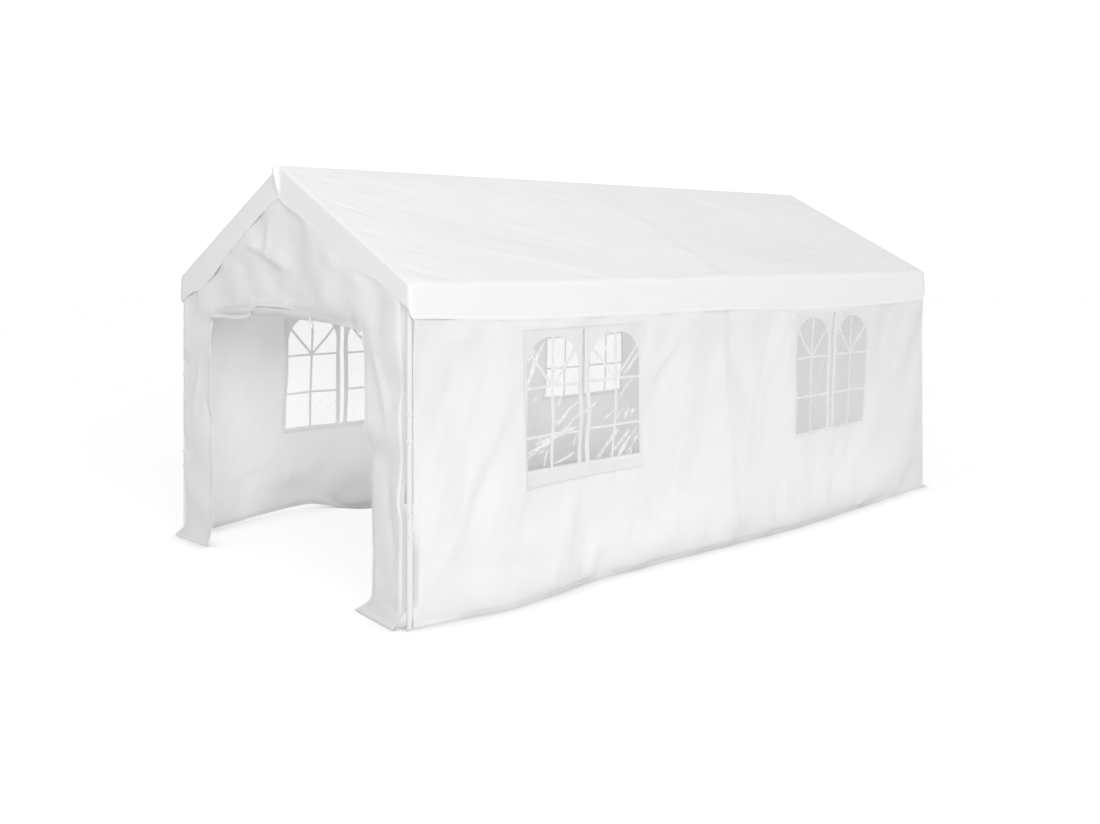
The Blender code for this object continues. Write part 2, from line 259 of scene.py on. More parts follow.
def hills(x, y, seed):
    """Smooth random hills about one unit across, from about -1 to 1."""
    if seed not in LATTICES:
        LATTICES[seed] = np.random.RandomState(seed).uniform(0, 2 * math.pi, (64, 64))
    lattice = LATTICES[seed]
    column, row = np.floor(x).astype(int), np.floor(y).astype(int)
    fx, fy = x - column, y - row

    def corner(dx, dy):
        angle = lattice[(column + dx) % 64, (row + dy) % 64]
        return np.cos(angle) * (fx - dx) + np.sin(angle) * (fy - dy)

    sx, sy = smooth_step(fx), smooth_step(fy)
    low = corner(0, 0) * (1 - sx) + corner(1, 0) * sx
    high = corner(0, 1) * (1 - sx) + corner(1, 1) * sx
    return 1.5 * (low * (1 - sy) + high * sy)


def wrinkles(a, u, length, width, angle, seed):
    """Long random hills that run at an angle over the plan."""
    along = a * math.cos(angle) + u * math.sin(angle)
    across = u * math.cos(angle) - a * math.sin(angle)
    return hills(along / length, across / width, seed)


def fold(a, u, start, end, height, width, far_width=None):
    """A fold between two points of the plan. Its flank on the left of its run may be wider."""
    run_a, run_u = end[0] - start[0], end[1] - start[1]
    length = math.hypot(run_a, run_u)
    t = ((a - start[0]) * run_a + (u - start[1]) * run_u) / length**2
    off = ((u - start[1]) * run_a - (a - start[0]) * run_u) / length
    flank = np.where(off > 0, far_width or width, width)
    return height * np.sin(math.pi * np.clip(t, 0, 1)) ** 0.8 * np.exp(-((off / flank) ** 2))


class Drape:
    """How a sheet hangs: the places in the tent of a grid of stations on its cutting plan."""

    def __init__(self, along, up, places, facing=1):
        self.along = np.asarray(along, float)
        self.up = np.asarray(up, float)
        self.places = np.asarray(places, float)
        self.facing = facing

    def at(self, a, u):
        """Places on the sheet, straight between the stations."""
        i, s = self.cell(self.along, a)
        j, t = self.cell(self.up, u)
        s, t = s[..., None], t[..., None]
        near = self.places[i, j] * (1 - s) + self.places[i + 1, j] * s
        far = self.places[i, j + 1] * (1 - s) + self.places[i + 1, j + 1] * s
        return near * (1 - t) + far * t

    def cell(self, marks, x):
        """The stretch that each x is in, and how far along it."""
        x = np.asarray(x, float)
        index = np.clip(np.searchsorted(marks, x, side="right") - 1, 0, len(marks) - 2)
        return index, (x - marks[index]) / (marks[index + 1] - marks[index])

    def normals(self, a, u, reach=0.006):
        """Directions out of the sheet's outer face."""
        run_a = self.at(a + reach, u) - self.at(a - reach, u)
        run_u = self.at(a, u + reach) - self.at(a, u - reach)
        out = np.cross(run_a, run_u) * self.facing
        return out / np.maximum(np.linalg.norm(out, axis=-1, keepdims=True), 1e-9)

    def refined(self, along, up, relief):
        """The same sheet on closer stations, curved between the old ones, with relief(a, u) raised on it."""
        rows = curved(self.along, self.places, along)
        places = np.swapaxes(curved(self.up, np.swapaxes(rows, 0, 1), up), 0, 1)
        smooth = Drape(along, up, places, self.facing)
        a, u = np.meshgrid(along, up, indexing="ij")
        places = places + smooth.normals(a, u, 0.012) * relief(a, u)[..., None]
        return Drape(along, up, places, self.facing)


def curved(marks, values, x):
    """Values on a smooth curve through the marks, read at x along their first axis."""
    slopes = np.gradient(values, marks, axis=0)
    cell = np.clip(np.searchsorted(marks, x, side="right") - 1, 0, len(marks) - 2)
    shape = (-1,) + (1,) * (values.ndim - 1)
    width = (marks[cell + 1] - marks[cell]).reshape(shape)
    t = ((x - marks[cell]) / (marks[cell + 1] - marks[cell])).reshape(shape)
    start = (t**3 - 2 * t**2 + t) * width * slopes[cell]
    end = (t**3 - t**2) * width * slopes[cell + 1]
    rise = t * t * (3 - 2 * t)
    return values[cell] * (1 - rise) + values[cell + 1] * rise + start + end


def plan_grid(bm, along, up):
    """A grid on the cutting plan, with the stations as its lines."""
    columns, rows = len(along) - 1, len(up) - 1
    for vert in bmesh.ops.create_grid(bm, x_segments=columns, y_segments=rows, size=0.5)["verts"]:
        column = round((vert.co.x + 0.5) * columns)
        row = round((vert.co.y + 0.5) * rows)
        vert.co = Vector((along[column], up[row], 0.0))


def drop_faces(bm, is_gone, context="FACES"):
    """Takes faces out of a plan, by their middles. With FACES_ONLY its points stay, so that the grid stays whole."""
    gone = [face for face in bm.faces if is_gone(*face.calc_center_median().xy)]
    bmesh.ops.delete(bm, geom=gone, context=context)


def keep_plan(bm):
    """Keeps a flat plan as the UV map, in metres."""
    uv_layer = bm.loops.layers.uv.verify()
    for face in bm.faces:
        for loop in face.loops:
            loop[uv_layer].uv = loop.vert.co.xy


def hang(bm, drape, lift=0.0):
    """Moves a plan to its place on a hanging sheet. The plan stays as the UV map."""
    keep_plan(bm)
    a, u = np.array([vert.co.xy for vert in bm.verts]).T
    places = drape.at(a, u) + drape.normals(a, u) * lift
    for vert, place in zip(bm.verts, places):
        vert.co = place
    if drape.facing < 0:
        bmesh.ops.reverse_faces(bm, faces=bm.faces)


def new_piece(name, bm, look, smooth=True):
    """Puts a finished bmesh in the scene as a piece that rides on the tent."""
    for edge in bm.edges:
        edge.smooth = not edge.is_boundary
    for face in bm.faces:
        face.smooth = smooth
    mesh = bpy.data.meshes.new(name)
    bm.to_mesh(mesh)
    bm.free()
    obj = bpy.data.objects.new(name, mesh)
    bpy.context.scene.collection.objects.link(obj)
    obj.data.materials.append(finish(look))
    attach(obj, "root")
    return obj


def sheet_piece(name, bm, look, thickness, offset):
    """A piece that is an open sheet with a thickness: offset -1 is inwards and 1 is outwards."""
    obj = new_piece(name, bm, look)
    solidify = obj.modifiers.new("Thickness", "SOLIDIFY")
    solidify.thickness = thickness
    solidify.offset = offset
    solidify.use_even_offset = False
    return obj


def ribbon(bm, drape, points, width, step=0.02, lift=0.0006):
    """A flat tape sewn on a sheet along a line of plan points. Its UV map runs along and across the tape."""
    points = [np.array(point, float) for point in points]
    runs = [np.linalg.norm(far - near) for near, far in zip(points, points[1:])]
    marks = np.concatenate([[0.0], np.cumsum(runs)])
    along = stations(step, *marks)
    columns = len(along) - 1
    made = bmesh.ops.create_grid(bm, x_segments=columns, y_segments=2, size=0.5)["verts"]
    line = np.stack([np.interp(along, marks, [point[axis] for point in points]) for axis in (0, 1)], 1)
    heading = np.gradient(line, along, axis=0)
    heading /= np.linalg.norm(heading, axis=1, keepdims=True)
    side = np.stack([-heading[:, 1], heading[:, 0]], 1)
    uv_layer = bm.loops.layers.uv.verify()
    spots, where = [], {}
    for vert in made:
        column = round((vert.co.x + 0.5) * columns)
        across = vert.co.y * width
        spots.append(line[column] + side[column] * across)
        where[vert] = (along[column], across)
    faces = {face for vert in made for face in vert.link_faces}
    for face in faces:
        for loop in face.loops:
            loop[uv_layer].uv = where[loop.vert]
    a, u = np.array(spots).T
    places = drape.at(a, u) + drape.normals(a, u) * lift
    for vert, place in zip(made, places):
        vert.co = place
    if drape.facing < 0:
        bmesh.ops.reverse_faces(bm, faces=list(faces))


def upright(along, low, high, width):
    """A tape's straight line up a plan, and its width."""
    return ((along, low), (along, high)), width


def level(up, near, far, width):
    """A tape's straight line along a plan, and its width."""
    return ((near, up), (far, up)), width


def tapes(name, drape, lines, look, thickness=0.0010, lift=0.0006):
    """One piece of all the tapes on a sheet. A line is its points and its width."""
    bm = bmesh.new()
    for points, width in lines:
        ribbon(bm, drape, points, width, lift=lift)
    return sheet_piece(name, bm, look, thickness, 0.0)


# Shapes of the sheets before they hang


def roof_fold(across, y):
    """The cover with sharp folds: slopes, valances along the eaves, and strips down the gables."""
    side, end = np.sign(across), np.sign(y)
    run, reach = np.abs(across), np.abs(y)
    slope = np.minimum(run, SLOPE_RUN)
    down_valance = np.maximum(run - SLOPE_RUN, 0) * through(VALANCE_DEPTH, y)
    down_gable = np.maximum(reach - COVER_Y, 0) * through(FLAP_DEPTH, across)
    drop = np.maximum(down_valance, down_gable)
    x = slope * math.cos(PITCH)
    z = RIDGE_TOP - slope * math.sin(PITCH) - drop
    sag = 0.040 * np.sin(math.pi * np.clip(x / POST_X, 0, 1)) ** 2
    sag = sag * np.sin(math.pi * np.clip(reach / POST_Y, 0, 1)) ** 2
    kick = smooth_step(drop / VALANCE)
    on_valance = down_valance >= down_gable
    x = x + np.where(on_valance, 0.007 * kick, 0.0)
    y = end * np.minimum(reach, COVER_Y)
    return np.stack([side * x, y, z - sag], -1)


def roof_shape(across, y):
    """The cover with its folds rounded over the tubes, more over the connectors at the corners."""
    near_end = np.exp(-(((np.abs(y) - COVER_Y) / 0.10) ** 2))
    near_eave = np.exp(-(((np.abs(across) - SLOPE_RUN) / 0.12) ** 2))
    spread_across = 0.006 + 0.008 * near_end * near_eave
    spread_along = 0.009 + 0.006 * near_end * near_eave
    shifts = (-1.0, -0.6, -0.2, 0.2, 0.6, 1.0)
    total = 0
    for da in shifts:
        for db in shifts:
            total = total + roof_fold(across + da * spread_across, y + db * spread_along)
    places = total / len(shifts) ** 2
    over_eave = np.exp(-(((np.abs(across) - SLOPE_RUN) / 0.09) ** 2))
    at_frame = np.exp(-(((np.abs(y) - 2.80) / 0.10) ** 2)) + np.exp(-((y / 0.14) ** 2))
    lift = 0.010 * over_eave * np.minimum(at_frame, 1)
    places[..., 0] += np.sign(across) * lift * 0.5
    places[..., 2] += lift
    return places


def roof_held(across, y):
    """1 where the cover lies on a tube or is sewn at a corner."""
    run, reach = np.abs(across), np.abs(y)
    on_slope = run <= SLOPE_RUN + 0.02
    rafters = on_slope & ((np.abs(reach - COVER_Y) < 0.05) | (reach < 0.03))
    eaves = np.abs(run - SLOPE_RUN) < 0.04
    ridge = run < 0.03
    corner = (run > SLOPE_RUN - 0.01) & (reach > COVER_Y - 0.01)
    return (rafters | ((eaves | ridge) & (reach < COVER_Y + 0.02)) | corner).astype(float)


def to_floor(z):
    """A wall's height with its hem let down to the floor."""
    return z - (HEM_LOW - LOWEST) * (1 - smooth_step((z - HEM_LOW) / 0.15))


def wall_shape(side, hem, lift=FLAT, flop=FLAT):
    """A side wall, straight at its ends. Lines say how its hem stands out, rises and lies inwards on the floor."""

    def place(y, z):
        low = smooth_step(1 - z / BOW_TOP)
        out = WALL_FACE + (through(hem, y) - WALL_FACE) * low
        up = to_floor(z) + through(lift, y) * (1 - smooth_step(z / 0.5))
        along = y + 0.014 * np.sign(y) * smooth_step((np.abs(y) - 2.6) / 0.3)
        if side == "right":
            slipped = smooth_step((y - 0.1) / 0.7) * smooth_step((2.85 - y) / 0.7)
            slipped = slipped * smooth_step((1.95 - z) / 0.25)
            along = along - 0.10 * np.clip((1.70 - z) / 1.0, 0, 1.2) * slipped
        lying = np.clip((0.50 - z) / 0.50, 0, 1)
        share = through(flop, y) / 0.32
        fallen = 0.50 * (1 - lying / 0.62)
        fallen = 0.006 + 0.5 * (fallen + np.sqrt(fallen**2 + 0.02**2))
        up = up + (fallen - up) * np.clip(share * 1.4, 0, 1) * smooth_step((0.50 - z) / 0.1)
        out = out - through(flop, y) * np.clip((lying - 0.52) / 0.48, 0, 1) ** 1.15
        return np.stack([SIDES[side] * out, along, up], -1)

    return place


def wall_held(y, z):
    """1 along a side wall's top, ends and hem, and at the loops round the middle post."""
    top = z > WALL_TOP - 0.02
    ends = np.abs(y) > WALL_END - 0.01
    hem = z < HEM_LOW + 0.01
    loops = (np.abs(y) < 0.03) & (np.abs(z - 1.3) < 0.04)
    return (top | ends | hem | loops).astype(float)


def end_shape(end, swing, tips):
    """An end wall. swing moves a strip's free edge in, and tips give its hem's corners on the ground."""

    def place(x, z):
        side = np.where(x < 0, 0, 1)
        share = np.clip((END_HALF - np.abs(x)) / (END_HALF - DOOR_HALF), 0, 1)
        y = END_FACE - swing(x, share, z)
        flare_top = np.where(x > 0, 0.10 - 0.03 * share, 0.12 + 0.05 * share)
        flare = smooth_step((flare_top - z) / (flare_top - HEM_LOW))
        outer, inner = np.array([tip[0] for tip in tips]), np.array([tip[1] for tip in tips])
        tip = outer[side] + (inner - outer)[side] * share[..., None]
        inside = np.abs(x) < DOOR_HALF
        tip_x = np.where(inside, x * np.abs(inner[side][..., 0]) / DOOR_HALF, tip[..., 0])
        new_x = x + (tip_x - x) * flare
        new_y = y + (tip[..., 1] - y) * flare
        return np.stack([new_x, end * new_y, to_floor(z) + 0 * x], -1)

    return place


def front_swing(x, share, z):
    """How far the free edge of a front strip stands inside the front plane."""
    right = 0.008 + 0.058 * smooth_step((1.13 - z) / 0.17)
    left = -0.012
    return share**1.5 * np.where(x > 0, right, left) * smooth_step((DOOR_TOP + 0.02 - z) / 0.2)


def front_shape(x, z):
    """The front wall before its lower edge over the doorway is tied up."""
    tips = (((-1.545, 2.967), (-1.045, 2.951)), ((1.425, 3.025), (0.955, 2.970)))
    places = end_shape(-1, front_swing, tips)(x, z)
    share = np.clip((END_HALF + x) / (END_HALF - DOOR_HALF), 0, 1) * (x < -DOOR_HALF + 0.01)
    lean = (0.030 + 0.040 * smooth_step((1.5 - z) / 1.2)) * smooth_step((DOOR_TOP - z) / 0.05)
    places[..., 0] += share**2 * lean * smooth_step((z - 0.02) / 0.2)
    return places


def tied_header(x, z, places):
    """Lifts the edge over the doorway, and draws it in, as it is tied up in the photograph."""
    inside = (np.abs(x) <= DOOR_HALF) & (z >= DOOR_TOP - 0.001)
    fade = (1 - smooth_step((z - DOOR_TOP) / 0.22)) * inside
    places[..., 1] += 0.012 * fade * smooth_step((DOOR_HALF - np.abs(x)) / 0.2)
    places[..., 2] += (through(HEADER, x) - DOOR_TOP) * fade


def pressed_out(out, base, face, below):
    """A wall's distance out. It is base behind a hanging edge, face just under that edge, and its own lower down."""
    face = np.maximum(face, base)
    behind = smooth_step((below + 0.05) / 0.045)
    room = base + (face - base) * behind + 0.3 * smooth_step((below - 0.005) / 0.10)
    return np.minimum(out + (face - base) * behind * (1 - smooth_step((below - 0.015) / 0.22)), room)


def behind_flap(end):
    """Keeps an end wall's upper part behind the cover's hanging edge, and close under it."""

    def keep(x, z, places):
        across = np.sign(x) * np.maximum(np.abs(x), 0.06) / math.cos(PITCH)
        edge = DRAPES["finished_roof"].at(across, end * (COVER_Y + VALANCE) + 0 * x)
        if end < 0:
            tied_header(x, z, places)
            depth = END_HALF - x
            edge_share = np.clip(1 - depth / STEP_NEAR, 0, 1)
            set_back = 0.018 * smooth_step((STEP_FAR - depth) / (STEP_FAR - STEP_NEAR)) + 0.010 * edge_share
            places[..., 1] += set_back * smooth_step((2.0 - z) / 0.15) * smooth_step((z - 0.03) / 0.12)
            places[..., 0] += 0.003 * edge_share
        out = pressed_out(
            end * places[..., 1], END_FACE - WALL_PLAY, end * edge[..., 1] - EDGE_GAP, edge[..., 2] - z
        )
        places[..., 1] = end * out
        places[..., 2] = np.maximum(places[..., 2], LOWEST)

    return keep


def behind_valance(side):
    """Keeps a side wall behind the cover's hanging edge and outside the middle post, and shapes its hem and edge."""
    way = SIDES[side]

    def keep(y, z, places):
        edge = DRAPES["finished_roof"].at(way * (SLOPE_RUN + VALANCE) + 0 * y, y)
        out = pressed_out(
            way * places[..., 0], WALL_FACE - WALL_PLAY, way * edge[..., 0] - EDGE_GAP, edge[..., 2] - z
        )
        beside_post = POST_X + POST_RADIUS + 0.004 - 0.8 * np.maximum(np.abs(y) - 0.02, 0)
        places[..., 0] = way * np.maximum(out, beside_post)
        if side == "right":
            curled = np.clip((0.035 - WALL_END - y) / 0.035, 0, 1)
            curled = curled * smooth_step((0.67 - z) / 0.3) * smooth_step((z - 0.04) / 0.1)
            places[..., 0] -= 0.034 * curled
            places[..., 1] += 0.024 * curled
            places[..., 0] -= through(RIGHT_TUCK, y) * np.clip((HEM_LOW + TUCK_HEIGHT - z) / TUCK_HEIGHT, 0, 1)
        places[..., 2] = np.maximum(places[..., 2], LOWEST)

    return keep


def rear_shape(x, z):
    """The rear wall, closed, with its foot pulled out at both corners."""
    tips = (((-1.43, 2.972), (-1.01, 2.965)), ((1.43, 2.972), (1.01, 2.965)))
    return end_shape(1, lambda x, share, z: 0 * share, tips)(x, z)


def gable_line(x):
    """The top edge of an end wall, just under the cover."""
    return RIDGE_TOP - 0.017 - np.abs(x) * math.tan(PITCH)


def end_held(x, z):
    """1 along an end wall's slopes and outer edges, on its hem, and at the top of the doorway's sides."""
    slopes = z > gable_line(x) - 0.05
    edges = (np.abs(x) > END_HALF - 0.01) & ((np.abs(z - 0.6) < 0.05) | (np.abs(z - 1.26) < 0.05) | (z > 1.7))
    hem = z < HEM_LOW + 0.01
    return (slopes | edges | hem).astype(float)


def front_held(x, z):
    """As for the rear wall, with nothing held in the doorway but what is cut out of it."""
    doorway = (np.abs(x) < DOOR_HALF - 0.01) & (z < DOOR_TOP - 0.01)
    header = (np.abs(z - DOOR_TOP) < 0.01) & (np.abs(x) < DOOR_HALF + 0.01)
    return np.maximum(end_held(x, z), (doorway | header).astype(float))


SHEETS = {
    "roof": {
        "marks": (
            (-SLOPE_RUN - VALANCE, -SLOPE_RUN, 0.0, SLOPE_RUN, SLOPE_RUN + VALANCE),
            (-COVER_Y - VALANCE, -COVER_Y, 0.0, COVER_Y, COVER_Y + VALANCE),
        ),
        "shape": roof_shape,
        "held": roof_held,
        "slack": 0.0015,
        "facing": 1,
    },
    "front_wall": {
        "marks": ((-END_HALF, -DOOR_HALF, 0.0, DOOR_HALF, END_HALF), (HEM_LOW, DOOR_TOP, gable_line(0.0))),
        "shape": front_shape,
        "held": front_held,
        "keep": behind_flap(-1),
        "slack": 0.004,
        "facing": 1,
    },
    "rear_wall": {
        "marks": ((-END_HALF, -DOOR_HALF, 0.0, DOOR_HALF, END_HALF), (HEM_LOW, DOOR_TOP, gable_line(0.0))),
        "shape": rear_shape,
        "held": end_held,
        "keep": behind_flap(1),
        "slack": 0.005,
        "facing": -1,
    },
    "left_wall": {
        "marks": None,
        "shape": wall_shape("left", LEFT_HEM, LEFT_LIFT, LEFT_FLOP),
        "held": wall_held,
        "keep": behind_valance("left"),
        "slack": 0.004,
        "facing": -1,
    },
    "right_wall": {
        "marks": None,
        "shape": wall_shape("right", RIGHT_HEM),
        "held": wall_held,
        "keep": behind_valance("right"),
        "slack": 0.003,
        "facing": 1,
    },
}
for side in SIDES:
    low_front, high_front = WINDOWS[f"{side}_window_front"][1]
    low_rear, high_rear = WINDOWS[f"{side}_window_rear"][1]
    SHEETS[f"{side}_wall"]["marks"] = (
        (-WALL_END, low_front.y, high_front.y, 0.0, low_rear.y, high_rear.y, WALL_END),
        (HEM_LOW, low_front.z, high_front.z, WALL_TOP),
    )

# Marks that the finished meshes have besides: on the roof at its ridge and gables, on walls where they fold sharply
FINER_MARKS = {
    "roof": ((-0.03, -0.012, -0.004, 0.004, 0.012, 0.03), (-COVER_Y - 0.012, COVER_Y + 0.012)),
    "front_wall": ((END_HALF - STEP_FAR, END_HALF - STEP_MIDDLE, END_HALF - STEP_NEAR), ()),
    "right_wall": ((), (HEM_LOW + TUCK_HEIGHT / 2, HEM_LOW + TUCK_HEIGHT)),
}
DRAPES = {}


def in_doorway(x, z):
    """True in the front wall's doorway."""
    return abs(x) < DOOR_HALF and z < DOOR_TOP


def roof_corner(across, y):
    """True where the cover's plan has no cloth, because two hanging strips meet there."""
    return abs(across) > SLOPE_RUN and abs(y) > COVER_Y


HOLES = {"front_wall": in_doorway, "roof": roof_corner}


def cloth_object(name, sheet, step):
    """A coarse sheet with Blender's cloth on it, and the order of its vertices on the plan."""
    along, up = (stations(step, *marks) for marks in sheet["marks"])
    bm = bmesh.new()
    plan_grid(bm, along, up)
    if name in HOLES:
        drop_faces(bm, HOLES[name], "FACES_ONLY")
    bm.verts.index_update()
    order = np.zeros((len(along), len(up)), int)
    for vert in bm.verts:
        order[np.abs(along - vert.co.x).argmin(), np.abs(up - vert.co.y).argmin()] = vert.index
    a, u = np.array([vert.co.xy for vert in bm.verts]).T
    places = sheet["shape"](a, u)
    held = sheet["held"](a, u)
    loose = np.array([not vert.link_faces for vert in bm.verts])
    held[loose] = 1.0
    for vert, place in zip(bm.verts, places):
        vert.co = place
    mesh = bpy.data.meshes.new(f"{name}_cloth")
    bm.to_mesh(mesh)
    bm.free()
    obj = bpy.data.objects.new(f"{name}_cloth", mesh)
    bpy.context.scene.collection.objects.link(obj)
    group = obj.vertex_groups.new(name="held")
    for index, weight in enumerate(held):
        if weight > 0:
            group.add([index], float(weight), "REPLACE")
    cloth = obj.modifiers.new("Cloth", "CLOTH")
    settings = cloth.settings
    settings.quality = 5
    settings.mass = 0.2
    settings.air_damping = 4
    settings.tension_stiffness = 60
    settings.compression_stiffness = 40
    settings.shear_stiffness = 30
    settings.bending_stiffness = 8
    settings.vertex_group_mass = "held"
    settings.shrink_min = -sheet["slack"]
    cloth.collision_settings.use_collision = False
    return obj, along, up, order


def hang_sheets(step, frames):
    """Lets every sheet hang from where it is held, and keeps how it hangs."""
    scene = bpy.context.scene
    made = {name: cloth_object(name, sheet, step) for name, sheet in SHEETS.items()}
    for obj, *_ in made.values():
        obj.modifiers["Cloth"].point_cache.frame_end = frames
    for number in range(1, frames + 1):
        scene.frame_set(number)
    graph = bpy.context.evaluated_depsgraph_get()
    for name, (obj, along, up, order) in made.items():
        settled = obj.evaluated_get(graph).data
        places = np.zeros(len(settled.vertices) * 3)
        settled.vertices.foreach_get("co", places)
        places = places.reshape(-1, 3)[order]
        DRAPES[name] = Drape(along, up, places, SHEETS[name]["facing"])
    for obj, *_ in made.values():
        mesh = obj.data
        bpy.data.objects.remove(obj)
        bpy.data.meshes.remove(mesh)
    scene.frame_set(1)


# Materials


def new_group(name, inputs, outputs):
    """A shader node group: its tree, what comes into it and goes out of it, and its Vector's three parts."""
    group = bpy.data.node_groups.new(name, "ShaderNodeTree")
    for label, kind, value in inputs:
        socket = group.interface.new_socket(name=label, in_out="INPUT", socket_type=kind)
        if value is not None:
            socket.default_value = value
    for label, kind in outputs:
        group.interface.new_socket(name=label, in_out="OUTPUT", socket_type=kind)
    source = group.nodes.new("NodeGroupInput").outputs
    result = group.nodes.new("NodeGroupOutput").inputs
    apart = group.nodes.new("ShaderNodeSeparateXYZ")
    group.links.new(source["Vector"], apart.inputs[0])
    return group, source, result, apart.outputs


def add_node(tree, kind, **values):
    """A node with its inputs set by name, or its properties where it has no such input."""
    node = tree.nodes.new(kind)
    for label, value in values.items():
        title = label.replace("_", " ").title()
        if hasattr(node, label):
            setattr(node, label, value)
        else:
            node.inputs[title].default_value = value
    return node


def noise(tree, vector, **values):
    """Noise over a vector, from 0 to 1."""
    node = add_node(tree, "ShaderNodeTexNoise", **values)
    tree.links.new(vector, node.inputs["Vector"])
    return node.outputs["Fac"]


def mixed(tree, factor, first, second):
    """A colour between two. Each is a socket or a colour."""
    mix = tree.nodes.new("ShaderNodeMix")
    mix.data_type = "RGBA"
    tree.links.new(factor, mix.inputs["Factor"])
    for label, value in (("A", first), ("B", second)):
        if isinstance(value, bpy.types.NodeSocket):
            tree.links.new(value, mix.inputs[label])
        else:
            mix.inputs[label].default_value = (*value, 1)
    return mix.outputs["Result"]


def show_mix(tree, share, first, second, kind="OUTPUT_MATERIAL"):
    """Sends a mix of two shaders to the tree's output. The share is a socket or a number."""
    mix = tree.nodes.new("ShaderNodeMixShader")
    if isinstance(share, bpy.types.NodeSocket):
        tree.links.new(share, mix.inputs["Fac"])
    else:
        mix.inputs["Fac"].default_value = share
    tree.links.new(first, mix.inputs[1])
    tree.links.new(second, mix.inputs[2])
    output = next(node for node in tree.nodes if node.type == kind)
    tree.links.new(mix.outputs["Shader"], output.inputs["Surface"])


def math_node(tree, operation, first, second=None):
    """A Math node. An input is a socket or a number."""
    node = tree.nodes.new("ShaderNodeMath")
    node.operation = operation
    for index, value in enumerate((first, second)):
        if isinstance(value, bpy.types.NodeSocket):
            tree.links.new(value, node.inputs[index])
        elif value is not None:
            node.inputs[index].default_value = value
    return node.outputs[0]


def weave_group():
    """Flat tapes woven over and under each other, seen through a thin coat."""
    tree, source, result, parts = new_group(
        "woven_tapes",
        (("Vector", "NodeSocketVector", None), ("Tape Width", "NodeSocketFloat", 0.0025)),
        (("Height", "NodeSocketFloat"), ("Mask", "NodeSocketFloat")),
    )
    waves = []
    for axis in (0, 1):
        turns = math_node(tree, "DIVIDE", parts[axis], source["Tape Width"])
        phase = math_node(tree, "MULTIPLY", turns, math.pi)
        waves.append(math_node(tree, "SINE", phase))
    over = math_node(tree, "MULTIPLY", waves[0], waves[1])
    height = math_node(tree, "ABSOLUTE", over)
    tree.links.new(height, result["Height"])
    mask = math_node(tree, "GREATER_THAN", over, 0.0)
    tree.links.new(mask, result["Mask"])
    return tree


def packing_group():
    """Straight faint creases left by folding the sheet into its bag, and small crumples between them."""
    tree, source, result, parts = new_group(
        "packing_creases",
        (
            ("Vector", "NodeSocketVector", None),
            ("Spacing", "NodeSocketFloat", 0.42),
            ("Width", "NodeSocketFloat", 0.006),
        ),
        (("Height", "NodeSocketFloat"),),
    )
    shift = math_node(tree, "MULTIPLY", noise(tree, source["Vector"], scale=1.3, detail=2.0), 0.05)
    ridges = []
    for axis in (0, 1):
        moved = math_node(tree, "ADD", parts[axis], shift)
        turned = math_node(tree, "DIVIDE", moved, source["Spacing"])
        near = math_node(tree, "PINGPONG", turned, 0.5)
        distance = math_node(tree, "MULTIPLY", near, source["Spacing"])
        scaled = math_node(tree, "DIVIDE", distance, source["Width"])
        ridge = math_node(tree, "SUBTRACT", 1.0, scaled)
        ridges.append(math_node(tree, "MAXIMUM", ridge, 0.0))
    both = math_node(tree, "MAXIMUM", ridges[0], ridges[1])
    crumple = noise(tree, source["Vector"], scale=22.0, detail=4.0, roughness=0.55)
    small = math_node(tree, "MULTIPLY", crumple, 0.6)
    total = math_node(tree, "ADD", both, small)
    tree.links.new(total, result["Height"])
    return tree


def stitch_group():
    """Two rows of thread along a tape, as a height and a mask. It reads the tape's map: along, across."""
    tree, source, result, parts = new_group(
        "stitching",
        (("Vector", "NodeSocketVector", None), ("Row", "NodeSocketFloat", 0.011), ("Pitch", "NodeSocketFloat", 0.006)),
        (("Height", "NodeSocketFloat"), ("Mask", "NodeSocketFloat")),
    )
    across = math_node(tree, "ABSOLUTE", parts[1])
    off = math_node(tree, "SUBTRACT", across, source["Row"])
    away = math_node(tree, "ABSOLUTE", off)
    row = math_node(tree, "LESS_THAN", away, 0.0009)
    turns = math_node(tree, "DIVIDE", parts[0], source["Pitch"])
    share = math_node(tree, "FRACT", turns)
    dash = math_node(tree, "LESS_THAN", share, 0.72)
    mask = math_node(tree, "MULTIPLY", row, dash)
    tree.links.new(mask, result["Mask"])
    tree.links.new(mask, result["Height"])
    return tree


def bump_chain(tree, heights):
    """Bump nodes in a row. A height is its socket, its distance in metres and its strength."""
    normal = None
    for socket, distance, strength in heights:
        bump = tree.nodes.new("ShaderNodeBump")
        bump.inputs["Distance"].default_value = distance
        bump.inputs["Strength"].default_value = strength
        tree.links.new(socket, bump.inputs["Height"])
        if normal:
            tree.links.new(normal, bump.inputs["Normal"])
        normal = bump.outputs["Normal"]
    return normal


def group_node(tree, group, vector, **values):
    """A group placed in a material, with its own values."""
    node = tree.nodes.new("ShaderNodeGroup")
    node.node_tree = group
    tree.links.new(vector, node.inputs["Vector"])
    for label, value in values.items():
        node.inputs[label.replace("_", " ").title()].default_value = value
    return node


def uneven_colour(tree, vector, colour, scale, spread):
    """A colour that wanders a little lighter and darker."""
    darker = [value * (1 - spread) for value in colour]
    lighter = [min(1, value * (1 + spread)) for value in colour]
    return mixed(tree, noise(tree, vector, scale=scale, detail=3.0), darker, lighter)


def new_material(name):
    """A material with only a Principled shader in it, and that shader."""
    material = bpy.data.materials.new(name)
    material.use_nodes = True
    shader = next(node for node in material.node_tree.nodes if node.type == "BSDF_PRINCIPLED")
    return material, material.node_tree, shader


